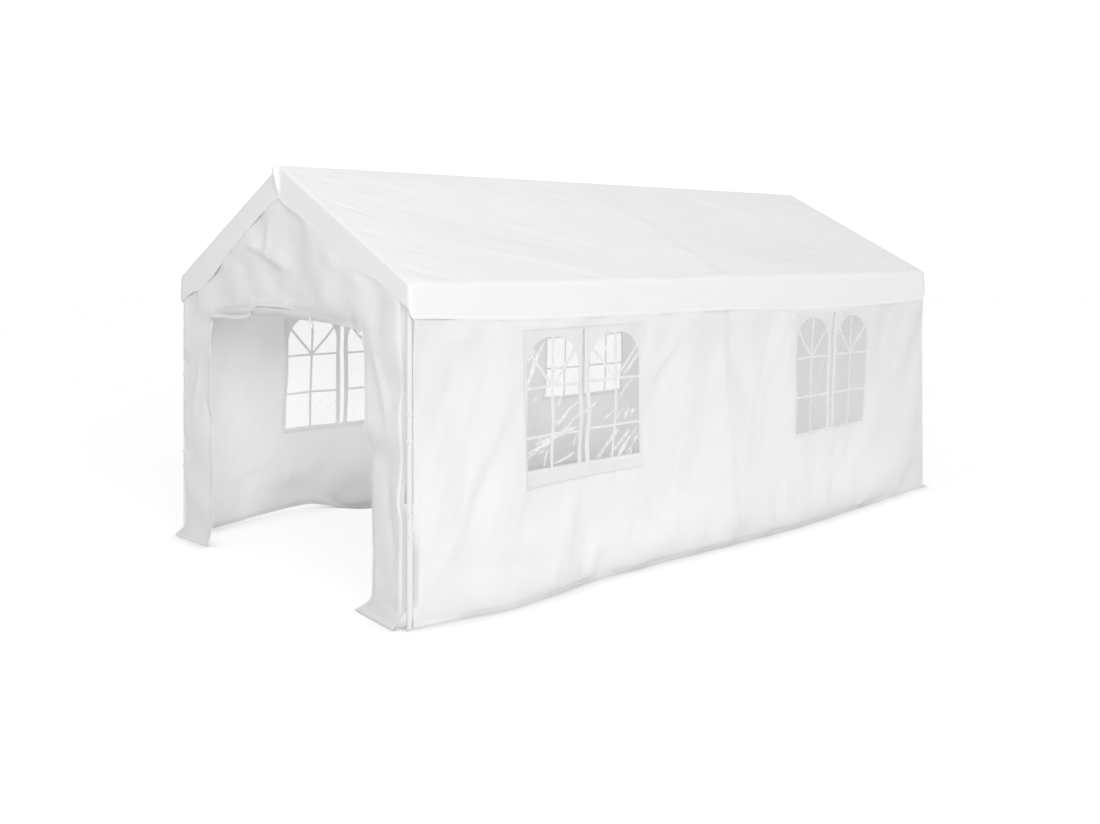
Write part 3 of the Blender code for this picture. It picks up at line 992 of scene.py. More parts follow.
def sheet_material(name, colour, groups, see_through, stitched):
    """Coated woven sheet. Some light comes through it."""
    material, tree, shader = new_material(name)
    vector = tree.nodes.new("ShaderNodeUVMap").outputs["UV"]
    weave = group_node(tree, groups["weave"], vector)
    heights = [(weave.outputs["Height"], 0.00012, 0.5)]
    base = uneven_colour(tree, vector, colour, 2.1, 0.015)
    if stitched:
        stitch = group_node(tree, groups["stitch"], vector)
        heights.append((stitch.outputs["Height"], 0.0004, 1.0))
        base = mixed(tree, stitch.outputs["Mask"], base, [value * 0.86 for value in colour])
    else:
        packing = group_node(tree, groups["packing"], vector)
        heights.insert(0, (packing.outputs["Height"], 0.0012, 0.55))
    normal = bump_chain(tree, heights)
    tree.links.new(base, shader.inputs["Base Color"])
    tree.links.new(normal, shader.inputs["Normal"])
    rough = math_node(tree, "MULTIPLY", weave.outputs["Mask"], 0.06)
    tree.links.new(math_node(tree, "ADD", rough, 0.42), shader.inputs["Roughness"])
    shader.inputs["Specular IOR Level"].default_value = 0.35
    let_light_through(tree, shader, base, normal, see_through)
    return material


def let_light_through(tree, shader, colour, normal, share):
    """Mixes light that comes through from the far side into a material."""
    through_light = tree.nodes.new("ShaderNodeBsdfTranslucent")
    tree.links.new(colour, through_light.inputs["Color"])
    tree.links.new(normal, through_light.inputs["Normal"])
    show_mix(tree, share, shader.outputs["BSDF"], through_light.outputs["BSDF"])


def print_material(name, colour):
    """White ink on the film, a little uneven."""
    material, tree, shader = new_material(name)
    vector = tree.nodes.new("ShaderNodeUVMap").outputs["UV"]
    ink = uneven_colour(tree, vector, colour, 9.0, 0.02)
    tree.links.new(ink, shader.inputs["Base Color"])
    normal = bump_chain(tree, [(noise(tree, vector, scale=160.0, detail=2.0), 0.0002, 0.4)])
    tree.links.new(normal, shader.inputs["Normal"])
    shader.inputs["Roughness"].default_value = 0.32
    let_light_through(tree, shader, ink, normal, 0.30)
    return material


def film_material(colour):
    """Clear film: glossy, hazier and whiter on its crinkles, where the white is partly stress whitening and partly
    painted highlight.
    """
    material, tree, shader = new_material("clear_film")
    whitening_and_glint = tree.nodes.new("ShaderNodeAttribute")
    whitening_and_glint.attribute_name = "whitening_and_glint"
    vector = tree.nodes.new("ShaderNodeUVMap").outputs["UV"]
    scuffs = noise(tree, vector, scale=38.0, detail=5.0, roughness=0.7)
    marks = math_node(tree, "MULTIPLY", scuffs, 0.07)
    # Whiter and more opaque along the crease lines: partly the film's stress whitening, partly painted highlight
    white = math_node(tree, "MULTIPLY", whitening_and_glint.outputs["Fac"], 0.52)
    haze = math_node(tree, "ADD", math_node(tree, "ADD", white, marks), 0.13)
    tree.links.new(math_node(tree, "MINIMUM", haze, 0.92), shader.inputs["Alpha"])
    tree.links.new(mixed(tree, whitening_and_glint.outputs["Fac"], colour, (0.92, 0.92, 0.92)), shader.inputs["Base Color"])
    shader.inputs["Roughness"].default_value = 0.07
    shader.inputs["Specular IOR Level"].default_value = 0.8
    tree.links.new(bump_chain(tree, [(scuffs, 0.0003, 0.10)]), shader.inputs["Normal"])
    return material


def steel_material(colour):
    """White powder coat: fine orange peel, and greyer low down where feet and soil rub it."""
    material, tree, shader = new_material("white_steel")
    vector = tree.nodes.new("ShaderNodeTexCoord").outputs["Object"]
    peel = noise(tree, vector, scale=420.0, detail=2.0)
    tree.links.new(bump_chain(tree, [(peel, 0.0002, 0.35)]), shader.inputs["Normal"])
    apart = tree.nodes.new("ShaderNodeSeparateXYZ")
    tree.links.new(vector, apart.inputs[0])
    grime = noise(tree, vector, scale=55.0, detail=5.0)
    height = math_node(tree, "DIVIDE", apart.outputs[2], 0.12)
    low = math_node(tree, "MAXIMUM", math_node(tree, "SUBTRACT", 1.0, height), 0.0)
    dust = math_node(tree, "MULTIPLY", math_node(tree, "MULTIPLY", low, grime), 0.12)
    tree.links.new(mixed(tree, dust, colour, (0.60, 0.58, 0.55)), shader.inputs["Base Color"])
    tree.links.new(math_node(tree, "ADD", dust, 0.33), shader.inputs["Roughness"])
    return material


def plastic_material():
    """Moulded white plastic of zip teeth, sliders and toggles."""
    material, tree, shader = new_material("white_plastic")
    vector = tree.nodes.new("ShaderNodeTexCoord").outputs["Object"]
    grain = noise(tree, vector, scale=900.0, detail=2.0)
    tree.links.new(bump_chain(tree, [(grain, 0.0001, 0.3)]), shader.inputs["Normal"])
    tree.links.new(uneven_colour(tree, vector, (0.80, 0.80, 0.80), 30.0, 0.03), shader.inputs["Base Color"])
    shader.inputs["Roughness"].default_value = 0.38
    return material


MATERIALS = {}


def finish(name):
    """A finish of the tent, made the first time that it is asked for."""
    if not MATERIALS:
        colours = bpy.context.scene.tent_colours
        groups = {"weave": weave_group(), "packing": packing_group(), "stitch": stitch_group()}
        MATERIALS["sheet"] = sheet_material("woven_sheet", colours.sheet, groups, 0.42, False)
        # The cover and its hems are a whiter, less see-through copy of the wall sheet: painted light on the roof and
        # valances
        MATERIALS["cover"] = sheet_material("cover_sheet_painted_brighter", colours.cover, groups, 0.20, False)
        MATERIALS["cover_hem"] = sheet_material("cover_hem_tape", colours.cover, groups, 0.15, True)
        MATERIALS["hem"] = sheet_material("hem_tape", colours.sheet, groups, 0.26, True)
        MATERIALS["print"] = print_material("printed_white", (0.88, 0.88, 0.88))
        # A welded seam whose grey is painted shade: the dark line along a window's border
        MATERIALS["shade_seam"] = print_material("weld_with_painted_shade", (0.79, 0.79, 0.79))
        MATERIALS["film"] = film_material(colours.film)
        MATERIALS["steel"] = steel_material(colours.steel)
        MATERIALS["plastic"] = plastic_material()
    return MATERIALS[name]


# Relief of each sheet, in metres out of its face

# Folds that the photograph shows, and a few where it shows nothing: two ends on the plan, height and width, and the
# width of the left flank where that is another
FOLDS = {
    "right_wall": (
        ((-2.93, 0.02), (-2.12, 1.42), 0.020, 0.05, 0.13),
        ((-1.02, 1.14), (-0.40, 1.70), 0.012, 0.035, 0.09),
        ((-2.86, 0.30), (-2.30, 0.95), -0.010, 0.06),
        ((-1.95, 0.60), (-1.35, 0.16), 0.010, 0.06),
        ((-0.75, 0.35), (0.35, 0.12), 0.010, 0.08),
        ((1.75, 0.62), (1.15, 0.10), 0.010, 0.06),
        ((2.9, 0.15), (2.2, 1.1), 0.012, 0.06, 0.12),
    ),
    "left_wall": (
        ((-2.15, 0.20), (-1.55, 0.12), 0.018, 0.035, 0.06),
        ((-1.15, 0.36), (-1.75, 0.12), 0.024, 0.035, 0.08),
        ((-1.95, 0.55), (-2.65, 0.16), 0.018, 0.05, 0.09),
        ((-2.75, 0.95), (-2.2, 0.15), 0.012, 0.06),
        ((-2.06, 0.66), (-2.05, 0.28), 0.008, 0.02, 0.06),
        ((1.2, 0.2), (2.6, 1.2), 0.012, 0.07),
    ),
    "gable_panel": (
        ((-0.60, 2.30), (0.16, 2.05), 0.024, 0.030, 0.075),
        ((-0.12, 2.52), (-0.19, 2.05), 0.012, 0.05, 0.03),
        ((0.02, 2.54), (0.34, 2.38), 0.014, 0.03),
        ((0.78, 2.14), (1.40, 1.86), 0.018, 0.025, 0.05),
        ((-0.84, 2.13), (-1.26, 1.92), 0.010, 0.022),
        ((-0.95, 1.72), (-0.60, 1.80), 0.006, 0.02),
    ),
    "door_strips": (
        ((1.10, 1.66), (1.26, 1.10), 0.012, 0.035),
        ((1.20, 1.0), (1.30, 0.2), -0.012, 0.05),
        ((-1.16, 1.40), (-1.28, 0.95), 0.012, 0.035),
        ((-1.10, 1.20), (-0.98, 0.80), -0.010, 0.03),
        ((-1.42, 0.50), (-1.04, 0.76), 0.010, 0.03),
    ),
    "rear_wall": (
        ((-0.9, 2.0), (0.5, 1.75), 0.014, 0.05),
        ((0.95, 1.6), (0.25, 0.3), 0.012, 0.06),
        ((-1.35, 0.1), (-0.6, 1.2), 0.012, 0.06),
    ),
}


def folds_of(part, a, u):
    """All the folds of one part of a sheet."""
    return sum(fold(a, u, *shape) for shape in FOLDS[part])


def under_cover(z, top, depth=0.10):
    """0 where a wall is behind the cover's hanging edge, 1 well below it."""
    return smooth_step((top - z) / depth)


def wall_relief(side):
    """Folds and wrinkles of a side wall. The photograph shows the right one's outside and the left one's inside."""
    seed = 11 if side == "right" else 37

    def relief(y, z):
        free = under_cover(z, VALANCE_LOW - 0.05) * smooth_step((WALL_END - np.abs(y)) / 0.12)
        soft = 0.012 * wrinkles(y, z, 1.1, 0.42, 0.95, seed) + 0.006 * wrinkles(y, z, 0.7, 0.16, 1.1, seed + 1)
        soft += 0.0028 * wrinkles(y, z, 0.35, 0.07, 1.25, seed + 2)
        if side == "left":
            soft *= 2.0
        low = smooth_step((0.55 - z) / 0.5)
        soft += low * 0.012 * wrinkles(y, z, 1.0, 0.24, math.pi / 2, seed + 3)
        total = (soft + folds_of(f"{side}_wall", y, z)) * free
        return total - np.minimum(total, 0) * np.exp(-((y / 0.15) ** 2))

    return relief


def end_wall_free(x, z):
    """0 where an end wall is behind the cover's hanging edge or at its own sides, 1 away from them."""
    return under_cover(z, gable_line(x) - 0.23, 0.12) * smooth_step((END_HALF - np.abs(x)) / 0.08)


def front_relief(x, z):
    """Folds of the gable panel and the strips beside the doorway."""
    free = end_wall_free(x, z)
    soft = 0.007 * wrinkles(x, z, 0.9, 0.30, -0.5, 71) + 0.003 * wrinkles(x, z, 0.5, 0.12, -0.7, 72)
    soft += 0.0016 * wrinkles(x, z, 0.25, 0.05, -0.3, 73)
    panel = folds_of("gable_panel", x, z)
    strip = folds_of("door_strips", x, z)
    gathered = 0.003 * hills(x / 0.035, z / 0.2, 75) * np.exp(-(((z - DOOR_TOP - 0.04) / 0.05) ** 2))
    return (soft + panel + strip + gathered) * free


def rear_relief(x, z):
    """Soft folds of the closed rear wall."""
    free = end_wall_free(x, z)
    soft = 0.010 * wrinkles(x, z, 1.2, 0.40, 1.2, 91) + 0.004 * wrinkles(x, z, 0.6, 0.14, 1.3, 92)
    return (soft + folds_of("rear_wall", x, z)) * free


def roof_relief(across, y):
    """Wrinkles of the cover: none at the tubes' tops, short ones beside the rafters, crimps along the eaves."""
    run, reach = np.abs(across), np.abs(y)
    bay = np.abs(np.sin(math.pi * np.clip(reach / POST_Y, 0, 1)))
    slope = smooth_step(run / 0.12) * smooth_step((SLOPE_RUN - run) / 0.05)
    inside = (reach < COVER_Y - 0.01) & (run < SLOPE_RUN)
    soft = 0.008 * wrinkles(y, across, 1.2, 0.45, 0.35, 51) + 0.0035 * wrinkles(y, across, 0.6, 0.10, 0.45, 52)
    soft = soft * np.sqrt(bay)
    beside = np.exp(-((np.abs(reach - POST_Y) - 0.18) / 0.16) ** 2) + np.exp(-((reach - 0.12) / 0.10) ** 2)
    way = np.sign(across)
    short = 0.006 * wrinkles(y, across * way, 0.34, 0.050, 0.7, 53) * beside
    crimps = 0.003 * hills(y / 0.05, across / 0.12, 54) * np.exp(-((SLOPE_RUN - run - 0.05) / 0.06) ** 2)
    hanging = 0.004 * hills(y / 0.30, across / 0.30, 55) * (run > SLOPE_RUN)
    hanging = hanging * smooth_step((run - SLOPE_RUN) / VALANCE)
    flap = 0.0008 * (1 + hills(across / 0.22, y / 0.3, 56)) * (reach > COVER_Y)
    flap = flap * smooth_step((reach - COVER_Y) / VALANCE)
    return np.where(inside, (soft + short + crimps) * slope, 0.0) + hanging + flap


def crease_lines(key):
    """The creases of one film on its wall's plan, each one as two ends."""
    low, high = WINDOWS[key][1]
    random = np.random.RandomState(FILMS[key]["seed"])
    corner = np.array([low.y, low.z])
    lines = []
    if key == "right_window_front":
        for start, end in NEAR_CREASES:
            start, end = np.array(start), np.array(end)
            run = end - start
            side = np.array([-run[1], run[0]]) / np.hypot(*run)
            lines.append((corner + start, corner + end))
            for _ in range(2):
                near, far = sorted(random.uniform(0.0, 1.0, 2))
                shift = side * random.uniform(-0.022, 0.022)
                far = max(far, near + 0.25)
                lines.append((corner + start + run * near + shift, corner + start + run * far + shift))
    for _ in range(FILMS[key]["creases"]):
        middle = corner + random.uniform(0.06, 0.94, 2) * np.array([high.y - low.y, high.z - low.z])
        angle = random.uniform(0.4, 1.3)
        half = random.uniform(0.03, 0.10) * np.array([math.cos(angle), math.sin(angle)])
        lines.append((middle - half, middle + half))
    return lines


def crinkles(key, a, u, width=0.0065):
    """Fine broken ridges on a film: 1 on a ridge, 0 away from all of them."""
    seed = FILMS[key]["seed"]
    total = np.zeros(np.shape(a))
    for index, (start, end) in enumerate(crease_lines(key)):
        run = end - start
        length = np.hypot(*run)
        share = ((a - start[0]) * run[0] + (u - start[1]) * run[1]) / length**2
        off = ((u - start[1]) * run[0] - (a - start[0]) * run[1]) / length
        wander = 0.005 * hills(share * length / 0.06, index + 0.5, seed)
        beads = 0.70 + 0.55 * hills(share * length / 0.022, index + 0.3, seed + 40)
        ends = smooth_step(share / 0.12) * smooth_step((1 - share) / 0.12)
        total += beads * ends * np.exp(-(((off - wander) / width) ** 2))
    return np.clip(total, 0, 1)


def film_relief(key):
    """Broad waves of a film, and its sharp creases."""
    film = FILMS[key]

    def relief(a, u):
        waves = 0.006 * wrinkles(a, u, 0.5, 0.18, 0.6, film["seed"])
        fine = 0.0016 * wrinkles(a, u, 0.20, 0.05, 0.7, film["seed"] + 1)
        return (waves + fine + 0.0035 * crinkles(key, a, u)) * (0.25 + 0.75 * film["strength"])

    return relief


def final_drape(name, relief, step):
    """A hung sheet on the finished mesh's stations, with its relief."""
    finer = FINER_MARKS.get(name, ((), ()))
    along, up = (stations(step, *sorted((*line, *more))) for line, more in zip(SHEETS[name]["marks"], finer))
    drape = DRAPES[name].refined(along, up, relief)
    keep = SHEETS[name].get("keep")
    if keep:
        keep(*np.meshgrid(along, up, indexing="ij"), drape.places)
    return drape


def window_share(y, z, name, margin=0.06):
    """1 inside a window, falling to 0 at its edge."""
    low, high = WINDOWS[name][1]
    edge = np.minimum(np.minimum(y - low.y, high.y - y), np.minimum(z - low.z, high.z - z))
    return smooth_step(edge / margin)


# Where the film beside the doorway is pulled along the wall: a place from its lower left corner, how far, and how wide
NEAR_MOVES = (
    (0.03, 0.12, -0.030, 0.28),
    (0.62, 0.45, 0.018, 0.14),
    (0.85, 0.12, -0.022, 0.16),
    (1.02, 0.86, 0.022, 0.16),
)

# How crinkled each film is, the size of its mesh's faces, and its printed panes' lower edge and that edge's slope
FILMS = {
    "right_window_front": {
        "seed": 101,
        "strength": 1.0,
        "step": 0.0072,
        "sill": 0.100,
        "slope": -0.022,
        "creases": 14,
        "moves": NEAR_MOVES,
    },
    "right_window_rear": {"seed": 102, "strength": 0.35, "step": 0.014, "sill": 0.030, "slope": 0.0, "creases": 7},
    "left_window_front": {"seed": 103, "strength": 0.15, "step": 0.014, "sill": 0.030, "slope": 0.0, "creases": 4},
    "left_window_rear": {"seed": 104, "strength": 0.15, "step": 0.014, "sill": 0.030, "slope": 0.0, "creases": 4},
}

# Creases of the window beside the doorway, as the photograph shows them, from its lower left corner
NEAR_CREASES = (
    ((0.00, 0.17), (0.26, 0.27)),
    ((0.00, 0.21), (0.51, 0.35)),
    ((0.10, 0.26), (0.23, 0.29)),
    ((0.27, 0.37), (0.49, 0.50)),
    ((0.27, 0.12), (0.47, 0.17)),
    ((0.52, 0.41), (0.65, 0.48)),
    ((0.65, 0.10), (0.86, 0.27)),
    ((0.80, 0.10), (0.99, 0.28)),
    ((0.88, 0.09), (1.05, 0.28)),
    ((0.93, 0.34), (0.98, 0.43)),
    ((0.98, 0.35), (1.04, 0.41)),
    ((0.96, 0.10), (1.07, 0.23)),
    ((0.80, 0.22), (0.90, 0.28)),
    ((0.02, 0.62), (0.14, 0.86)),
    ((0.04, 0.78), (0.10, 0.88)),
    ((0.06, 0.69), (0.20, 0.93)),
    ((0.93, 0.64), (1.07, 0.80)),
)


class TENT_OT_hang_sheets(bpy.types.Operator):
    """Let the roof and the walls hang from the frame"""

    bl_idname = "tent.hang_sheets"
    bl_label = "Hang Sheets"

    def execute(self, context):
        sizes = context.scene.tent_sizes
        hang_sheets(sizes.hang_step, sizes.hang_frames)
        return {"FINISHED"}


class TENT_OT_roof(bpy.types.Operator):
    """Make the cover with its valances, pleats, seams and hems"""

    bl_idname = "tent.make_roof"
    bl_label = "Make Roof"

    def execute(self, context):
        sizes = context.scene.tent_sizes
        drape = final_drape("roof", roof_relief, 0.026)
        sew_corners(drape)
        raise_pleats(drape)
        DRAPES["finished_roof"] = drape
        bm = bmesh.new()
        plan_grid(bm, drape.along, drape.up)
        drop_faces(bm, roof_corner)
        hang(bm, drape)
        bmesh.ops.remove_doubles(bm, verts=bm.verts, dist=0.0005)
        roof = sheet_piece("roof_sheet", bm, "cover", sizes.sheet_thickness, -1)
        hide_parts("roof_cover")
        half = sizes.hem_width / 2
        edge_a, edge_u = SLOPE_RUN + VALANCE - half, COVER_Y + VALANCE - half
        lines = []
        for way in (-1, 1):
            lines.append(upright(way * edge_a, -COVER_Y, COVER_Y, sizes.hem_width))
            for reach in (-edge_u, edge_u):
                lines.append(level(reach, way * 0.02, way * SLOPE_RUN, 0.012))
        lines.append(level(0.0, -edge_a, edge_a, SEAM_WIDTH))
        hems = tapes("roof_hems", drape, lines, "cover_hem", thickness=0.0007, lift=0.0005)
        return {"FINISHED"}


def sew_corners(drape):
    """Brings the two hanging strips at each corner of the cover to one vertical line."""
    columns = np.abs(np.abs(drape.along) - SLOPE_RUN) < 1e-6
    rows = np.abs(np.abs(drape.up) - COVER_Y) < 1e-6
    for i in np.flatnonzero(columns):
        for j in np.flatnonzero(rows):
            out_i = np.sign(drape.along[i]).astype(int)
            out_j = np.sign(drape.up[j]).astype(int)
            steps = min(len(drape.along) - 1 - i if out_i > 0 else i, len(drape.up) - 1 - j if out_j > 0 else j)
            for step in range(steps + 1):
                valance = drape.places[i + out_i * step, j]
                gable = drape.places[i, j + out_j * step]
                middle = (valance + gable) / 2
                drape.places[i + out_i * step, j] = middle
                drape.places[i, j + out_j * step] = middle


def raise_pleats(drape):
    """Stands the spare cloth under each apex out as a narrow pleat, widest just under the ridge."""
    a, u = np.meshgrid(drape.along, drape.up, indexing="ij")
    depth = np.abs(u) - COVER_Y
    height = 0.050 * smooth_step((depth + 0.012) / 0.024) * (1 - smooth_step((depth - 0.02) / (VALANCE * 0.95)))
    narrow = np.clip(1 - np.abs(a) / 0.012, 0, 1)
    drape.places[..., 1] += np.sign(u) * height * narrow
    drape.places[..., 2] -= 0.25 * height * narrow


class TENT_OT_side_walls(bpy.types.Operator):
    """Make both side walls with their hems, seams and windows"""

    bl_idname = "tent.make_side_walls"
    bl_label = "Make Side Walls"

    def execute(self, context):
        for side in SIDES:
            make_side_wall(side, context.scene.tent_sizes)
        return {"FINISHED"}


def box_edges(box, margin):
    """The left, right, lower and upper edge of a window's box on its wall's plan, a margin outside it."""
    near, far = box[0].y - margin, box[1].y + margin
    sill, head = box[0].z - margin, box[1].z + margin
    foot, top = ((near, sill), (far, sill)), ((near, head), (far, head))
    left, right = zip(foot, top)
    return left, right, foot, top


def make_side_wall(side, sizes):
    """One side wall, its two films with their printed bars, and what is sewn on it."""
    name = f"{side}_wall"
    folds = wall_relief(side)
    films = {key: value for key, value in WINDOWS.items() if value[0] == side}

    def relief(y, z):
        height = folds(y, z)
        for key in films:
            height = height * (1 - 0.5 * window_share(y, z, key))
        return height

    drape = final_drape(name, relief, sizes.mesh_step)
    bm = bmesh.new()
    plan_grid(bm, drape.along, drape.up)
    drop_faces(bm, lambda y, z: any(low.y < y < high.y and low.z < z < high.z for _, (low, high) in films.values()))
    hang(bm, drape)
    wall = sheet_piece(f"{name}_sheet", bm, "sheet", sizes.sheet_thickness, -1)
    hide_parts(name)
    half = sizes.hem_width / 2
    low, high = HEM_LOW + half, WALL_TOP - half
    lines = [
        level(low, -WALL_END, WALL_END, sizes.hem_width),
        upright(-WALL_END + half, HEM_LOW, high, sizes.hem_width),
        upright(WALL_END - half, HEM_LOW, high, sizes.hem_width),
        upright(0.0, HEM_LOW, high, SEAM_WIDTH),
    ]
    for _, film_box in films.values():
        lines += [(edge, 0.016) for edge in box_edges(film_box, 0.004)]
    hems = tapes(f"{name}_hems", drape, lines, "hem")
    with_wall = [hems]
    if side == "right":
        # Grey welded seams on the near film's left, top and lower edges only: painted shade of the line along its
        # border
        left, _, foot, head = box_edges(films["right_window_front"][1], 0.002)
        shaded_seam_lines = [(line, 0.005) for line in (left, head, foot)]
        with_wall.append(tapes("right_window_front_painted_seam_shade", drape, shaded_seam_lines, "shade_seam", 0.0006, 0.0016))
    for key, (_, (film_low, film_high)) in films.items():
        with_wall += make_window(key, drape, film_low, film_high, sizes)


def make_window(key, drape, low, high, sizes):
    """A clear film in the wall's opening, and the white bars printed on it."""
    along, up = (stations(FILMS[key]["step"], *ends) for ends in ((low.y, high.y), (low.z, high.z)))
    a, u = np.meshgrid(along, up, indexing="ij")
    inside = window_share(a, u, key)
    height = film_relief(key)(a, u) * inside
    pull = (0.003 + 0.005 * FILMS[key]["strength"]) * inside
    moved_a = a + pull * wrinkles(a, u, 0.35, 0.14, 1.1, FILMS[key]["seed"] + 2)
    for spot_a, spot_u, move, reach in FILMS[key].get("moves", ()):
        off = np.hypot(a - low.y - spot_a, u - low.z - spot_u)
        moved_a = moved_a + move * np.exp(-((off / reach) ** 2)) * window_share(a, u, key, 0.025)
    moved_u = u + pull * wrinkles(a, u, 0.35, 0.14, 0.6, FILMS[key]["seed"] + 3)
    places = drape.at(moved_a, moved_u) + drape.normals(a, u, 0.02) * height[..., None]
    film_drape = Drape(along, up, places, drape.facing)
    bm = bmesh.new()
    plan_grid(bm, along, up)
    # Each vertex keeps how white its creases are: partly stress whitening, partly painted highlight
    layer = bm.verts.layers.float.new("whitening_and_glint")
    plan = np.array([vert.co.xy for vert in bm.verts])
    shine = crinkles(key, plan[:, 0], plan[:, 1], 0.006) * FILMS[key]["strength"]
    for vert, value in zip(bm.verts, shine):
        vert[layer] = value
    hang(bm, film_drape)
    film = sheet_piece(f"{key}_film", bm, "film", sizes.film_thickness, -1)
    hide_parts(key)
    return [film, make_print(key, film_drape, low, high, sizes)]


def make_print(key, film_drape, low, high, sizes):
    """The white print on a film: two arched lights, each with three rows of panes and a fan in its arch."""
    layout = print_layout(key, low, high, sizes.bar_width)
    bm = bmesh.new()
    plan_grid(bm, stations(0.026, low.y, high.y), stations(0.026, low.z, high.z))
    for middle in layout["lights"]:
        for off in (-layout["half"], -layout["bar"] / 2, layout["bar"] / 2, layout["half"]):
            cut_plan(bm, bm.faces, (middle + off, 0.0), (1.0, 0.0))
    for way in (-1, 1):
        cut_plan(bm, bm.faces, (layout["centre"] + way * layout["gap"] / 2, 0.0), (1.0, 0.0))
    cut_plan(bm, bm.faces, (low.y, layout["sill"]), (-layout["slope"], 1.0))
    cut_plan(bm, bm.faces, (low.y, high.z - 0.012), (0.0, 1.0))
    for row in layout["rows"]:
        for way in (-1, 1):
            cut_plan(bm, bm.faces, (low.y, row + way * layout["rail"] / 2), (0.0, 1.0))
    for middle in layout["lights"]:
        cut_fan(bm, middle, layout)
    drop_faces(bm, lambda a, u: is_clear(a, u, layout))
    hang(bm, film_drape, 0.0005)
    return sheet_piece(f"{key}_bars", bm, "print", 0.0005, 1)


def print_layout(key, low, high, bar):
    """The sizes of one window's print on its wall's plan."""
    border, mullion = 0.022, 0.112
    centre = (low.y + high.y) / 2
    half = ((high.y - low.y) / 2 - border - mullion / 2) / 2
    return {
        "centre": centre,
        "left": low.y,
        "half": half,
        "lights": (centre - mullion / 2 - half, centre + mullion / 2 + half),
        "bar": bar,
        "rail": 0.8 * bar,
        "gap": 0.036,
        "sill": low.z + FILMS[key]["sill"],
        "slope": FILMS[key]["slope"],
        "rows": (low.z + 0.3125, low.z + 0.625),
        "spring": high.z - 0.250,
        "head": high.z - 0.042,
        "top": high.z - 0.012,
    }


def cut_plan(bm, faces, spot, normal):
    """Cuts faces of a plan along a line."""
    faces = list(faces)
    geom = {item for face in faces for item in (face, *face.edges, *face.verts)}
    bmesh.ops.bisect_plane(bm, geom=list(geom), dist=1e-5, plane_co=(*spot, 0.0), plane_no=(*normal, 0.0))


def cut_fan(bm, middle, layout):
    """Cuts the arch's outline and the fan's two slanting bars."""
    half, transom = layout["half"], layout["rows"][1]

    def near(left, right):
        middles = [(face, face.calc_center_median()) for face in bm.faces]
        return [face for face, spot in middles if left < spot.x < right and spot.y > transom]

    for way in (-1, 1):
        across = Vector((-FAN_SLANT, way)).normalized()
        reach = (middle - half, middle) if way < 0 else (middle, middle + half)
        for shift in (-layout["bar"] / 2, layout["bar"] / 2):
            spot = Vector((middle, transom)) + across * shift
            cut_plan(bm, near(*reach), spot, across)
    count = 16
    rise = layout["head"] - layout["spring"]
    for index in range(count):
        ends = []
        for turn in (math.pi * index / count, math.pi * (index + 1) / count):
            ends.append(Vector((middle + half * math.cos(turn), layout["spring"] + rise * math.sin(turn))))
        run = ends[1] - ends[0]
        left, right = min(end.x for end in ends), max(end.x for end in ends)
        cut_plan(bm, near(left - 0.015, right + 0.015), ends[0], (-run.y, run.x))


def is_clear(a, u, layout):
    """True where the film has no print on it."""
    bar = layout["bar"]
    if u < layout["sill"] + layout["slope"] * (a - layout["left"]):
        return False
    if abs(a - layout["centre"]) < layout["gap"] / 2:
        return u < layout["top"]
    for middle in layout["lights"]:
        off = a - middle
        if abs(off) > layout["half"] or abs(off) < bar / 2:
            continue
        if u < layout["rows"][1] + layout["rail"] / 2:
            return not any(abs(u - row) < layout["rail"] / 2 for row in layout["rows"])
        rise = layout["head"] - layout["spring"]
        arch = layout["spring"] + rise * math.sqrt(max(0.0, 1 - (off / layout["half"]) ** 2))
        across = abs(FAN_SLANT * abs(off) - (u - layout["rows"][1])) / math.hypot(1, FAN_SLANT)
        return u < arch and across > bar / 2
    return False


class TENT_OT_end_walls(bpy.types.Operator):
    """Make the front wall with its doorway, and the closed rear wall"""

    bl_idname = "tent.make_end_walls"
    bl_label = "Make End Walls"

    def execute(self, context):
        sizes = context.scene.tent_sizes
        front = end_wall("front_wall", front_relief, 0.018, in_doorway, sizes)
        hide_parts("front_gable_panel", "front_left_strip", "front_right_strip")
        rear = end_wall("rear_wall", rear_relief, 0.023, None, sizes)
        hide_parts("rear_wall")
        return {"FINISHED"}


def end_wall(name, relief, step, hole, sizes):
    """An end wall, cut along the rafters, with its hems and its zip."""
    drape = final_drape(name, relief, step)
    bm = bmesh.new()
    plan_grid(bm, drape.along, drape.up)
    if hole:
        drop_faces(bm, hole)
    for way in (-1, 1):
        geom = [*bm.verts, *bm.edges, *bm.faces]
        normal = Vector((way * math.sin(PITCH), math.cos(PITCH), 0.0))
        bmesh.ops.bisect_plane(
            bm, geom=geom, dist=1e-5, plane_co=(0.0, gable_line(0.0), 0.0), plane_no=normal, clear_outer=True
        )
    hang(bm, drape)
    wall = sheet_piece(f"{name}_sheet", bm, "sheet", sizes.sheet_thickness, -1)
    half = sizes.hem_width / 2
    low = HEM_LOW + half
    post_top = gable_line(END_HALF) - half
    lines = []
    for way in (-1, 1):
        lines.append(upright(way * (END_HALF - half), HEM_LOW, post_top, sizes.hem_width))
        lines.append(upright(way * (DOOR_HALF + ZIP_FLY), HEM_LOW, DOOR_TOP + 0.02, 0.04))
        lines.append(level(low, way * DOOR_HALF, way * END_HALF, sizes.hem_width))
    if hole:
        lines.append(level(DOOR_TOP + half, -DOOR_HALF, DOOR_HALF, sizes.hem_width))
    else:
        lines.append(level(low, -DOOR_HALF, DOOR_HALF, sizes.hem_width))
        lines.append(level(DOOR_TOP, -DOOR_HALF, DOOR_HALF, 0.03))
        for way in (-1, 1):
            lines.append(upright(way * (DOOR_HALF - ZIP_FLY), HEM_LOW, DOOR_TOP, 0.04))
    hems = tapes(f"{name}_hems", drape, lines, "hem")
    zips = make_zips(f"{name}_zips", drape, bool(hole))
    return wall


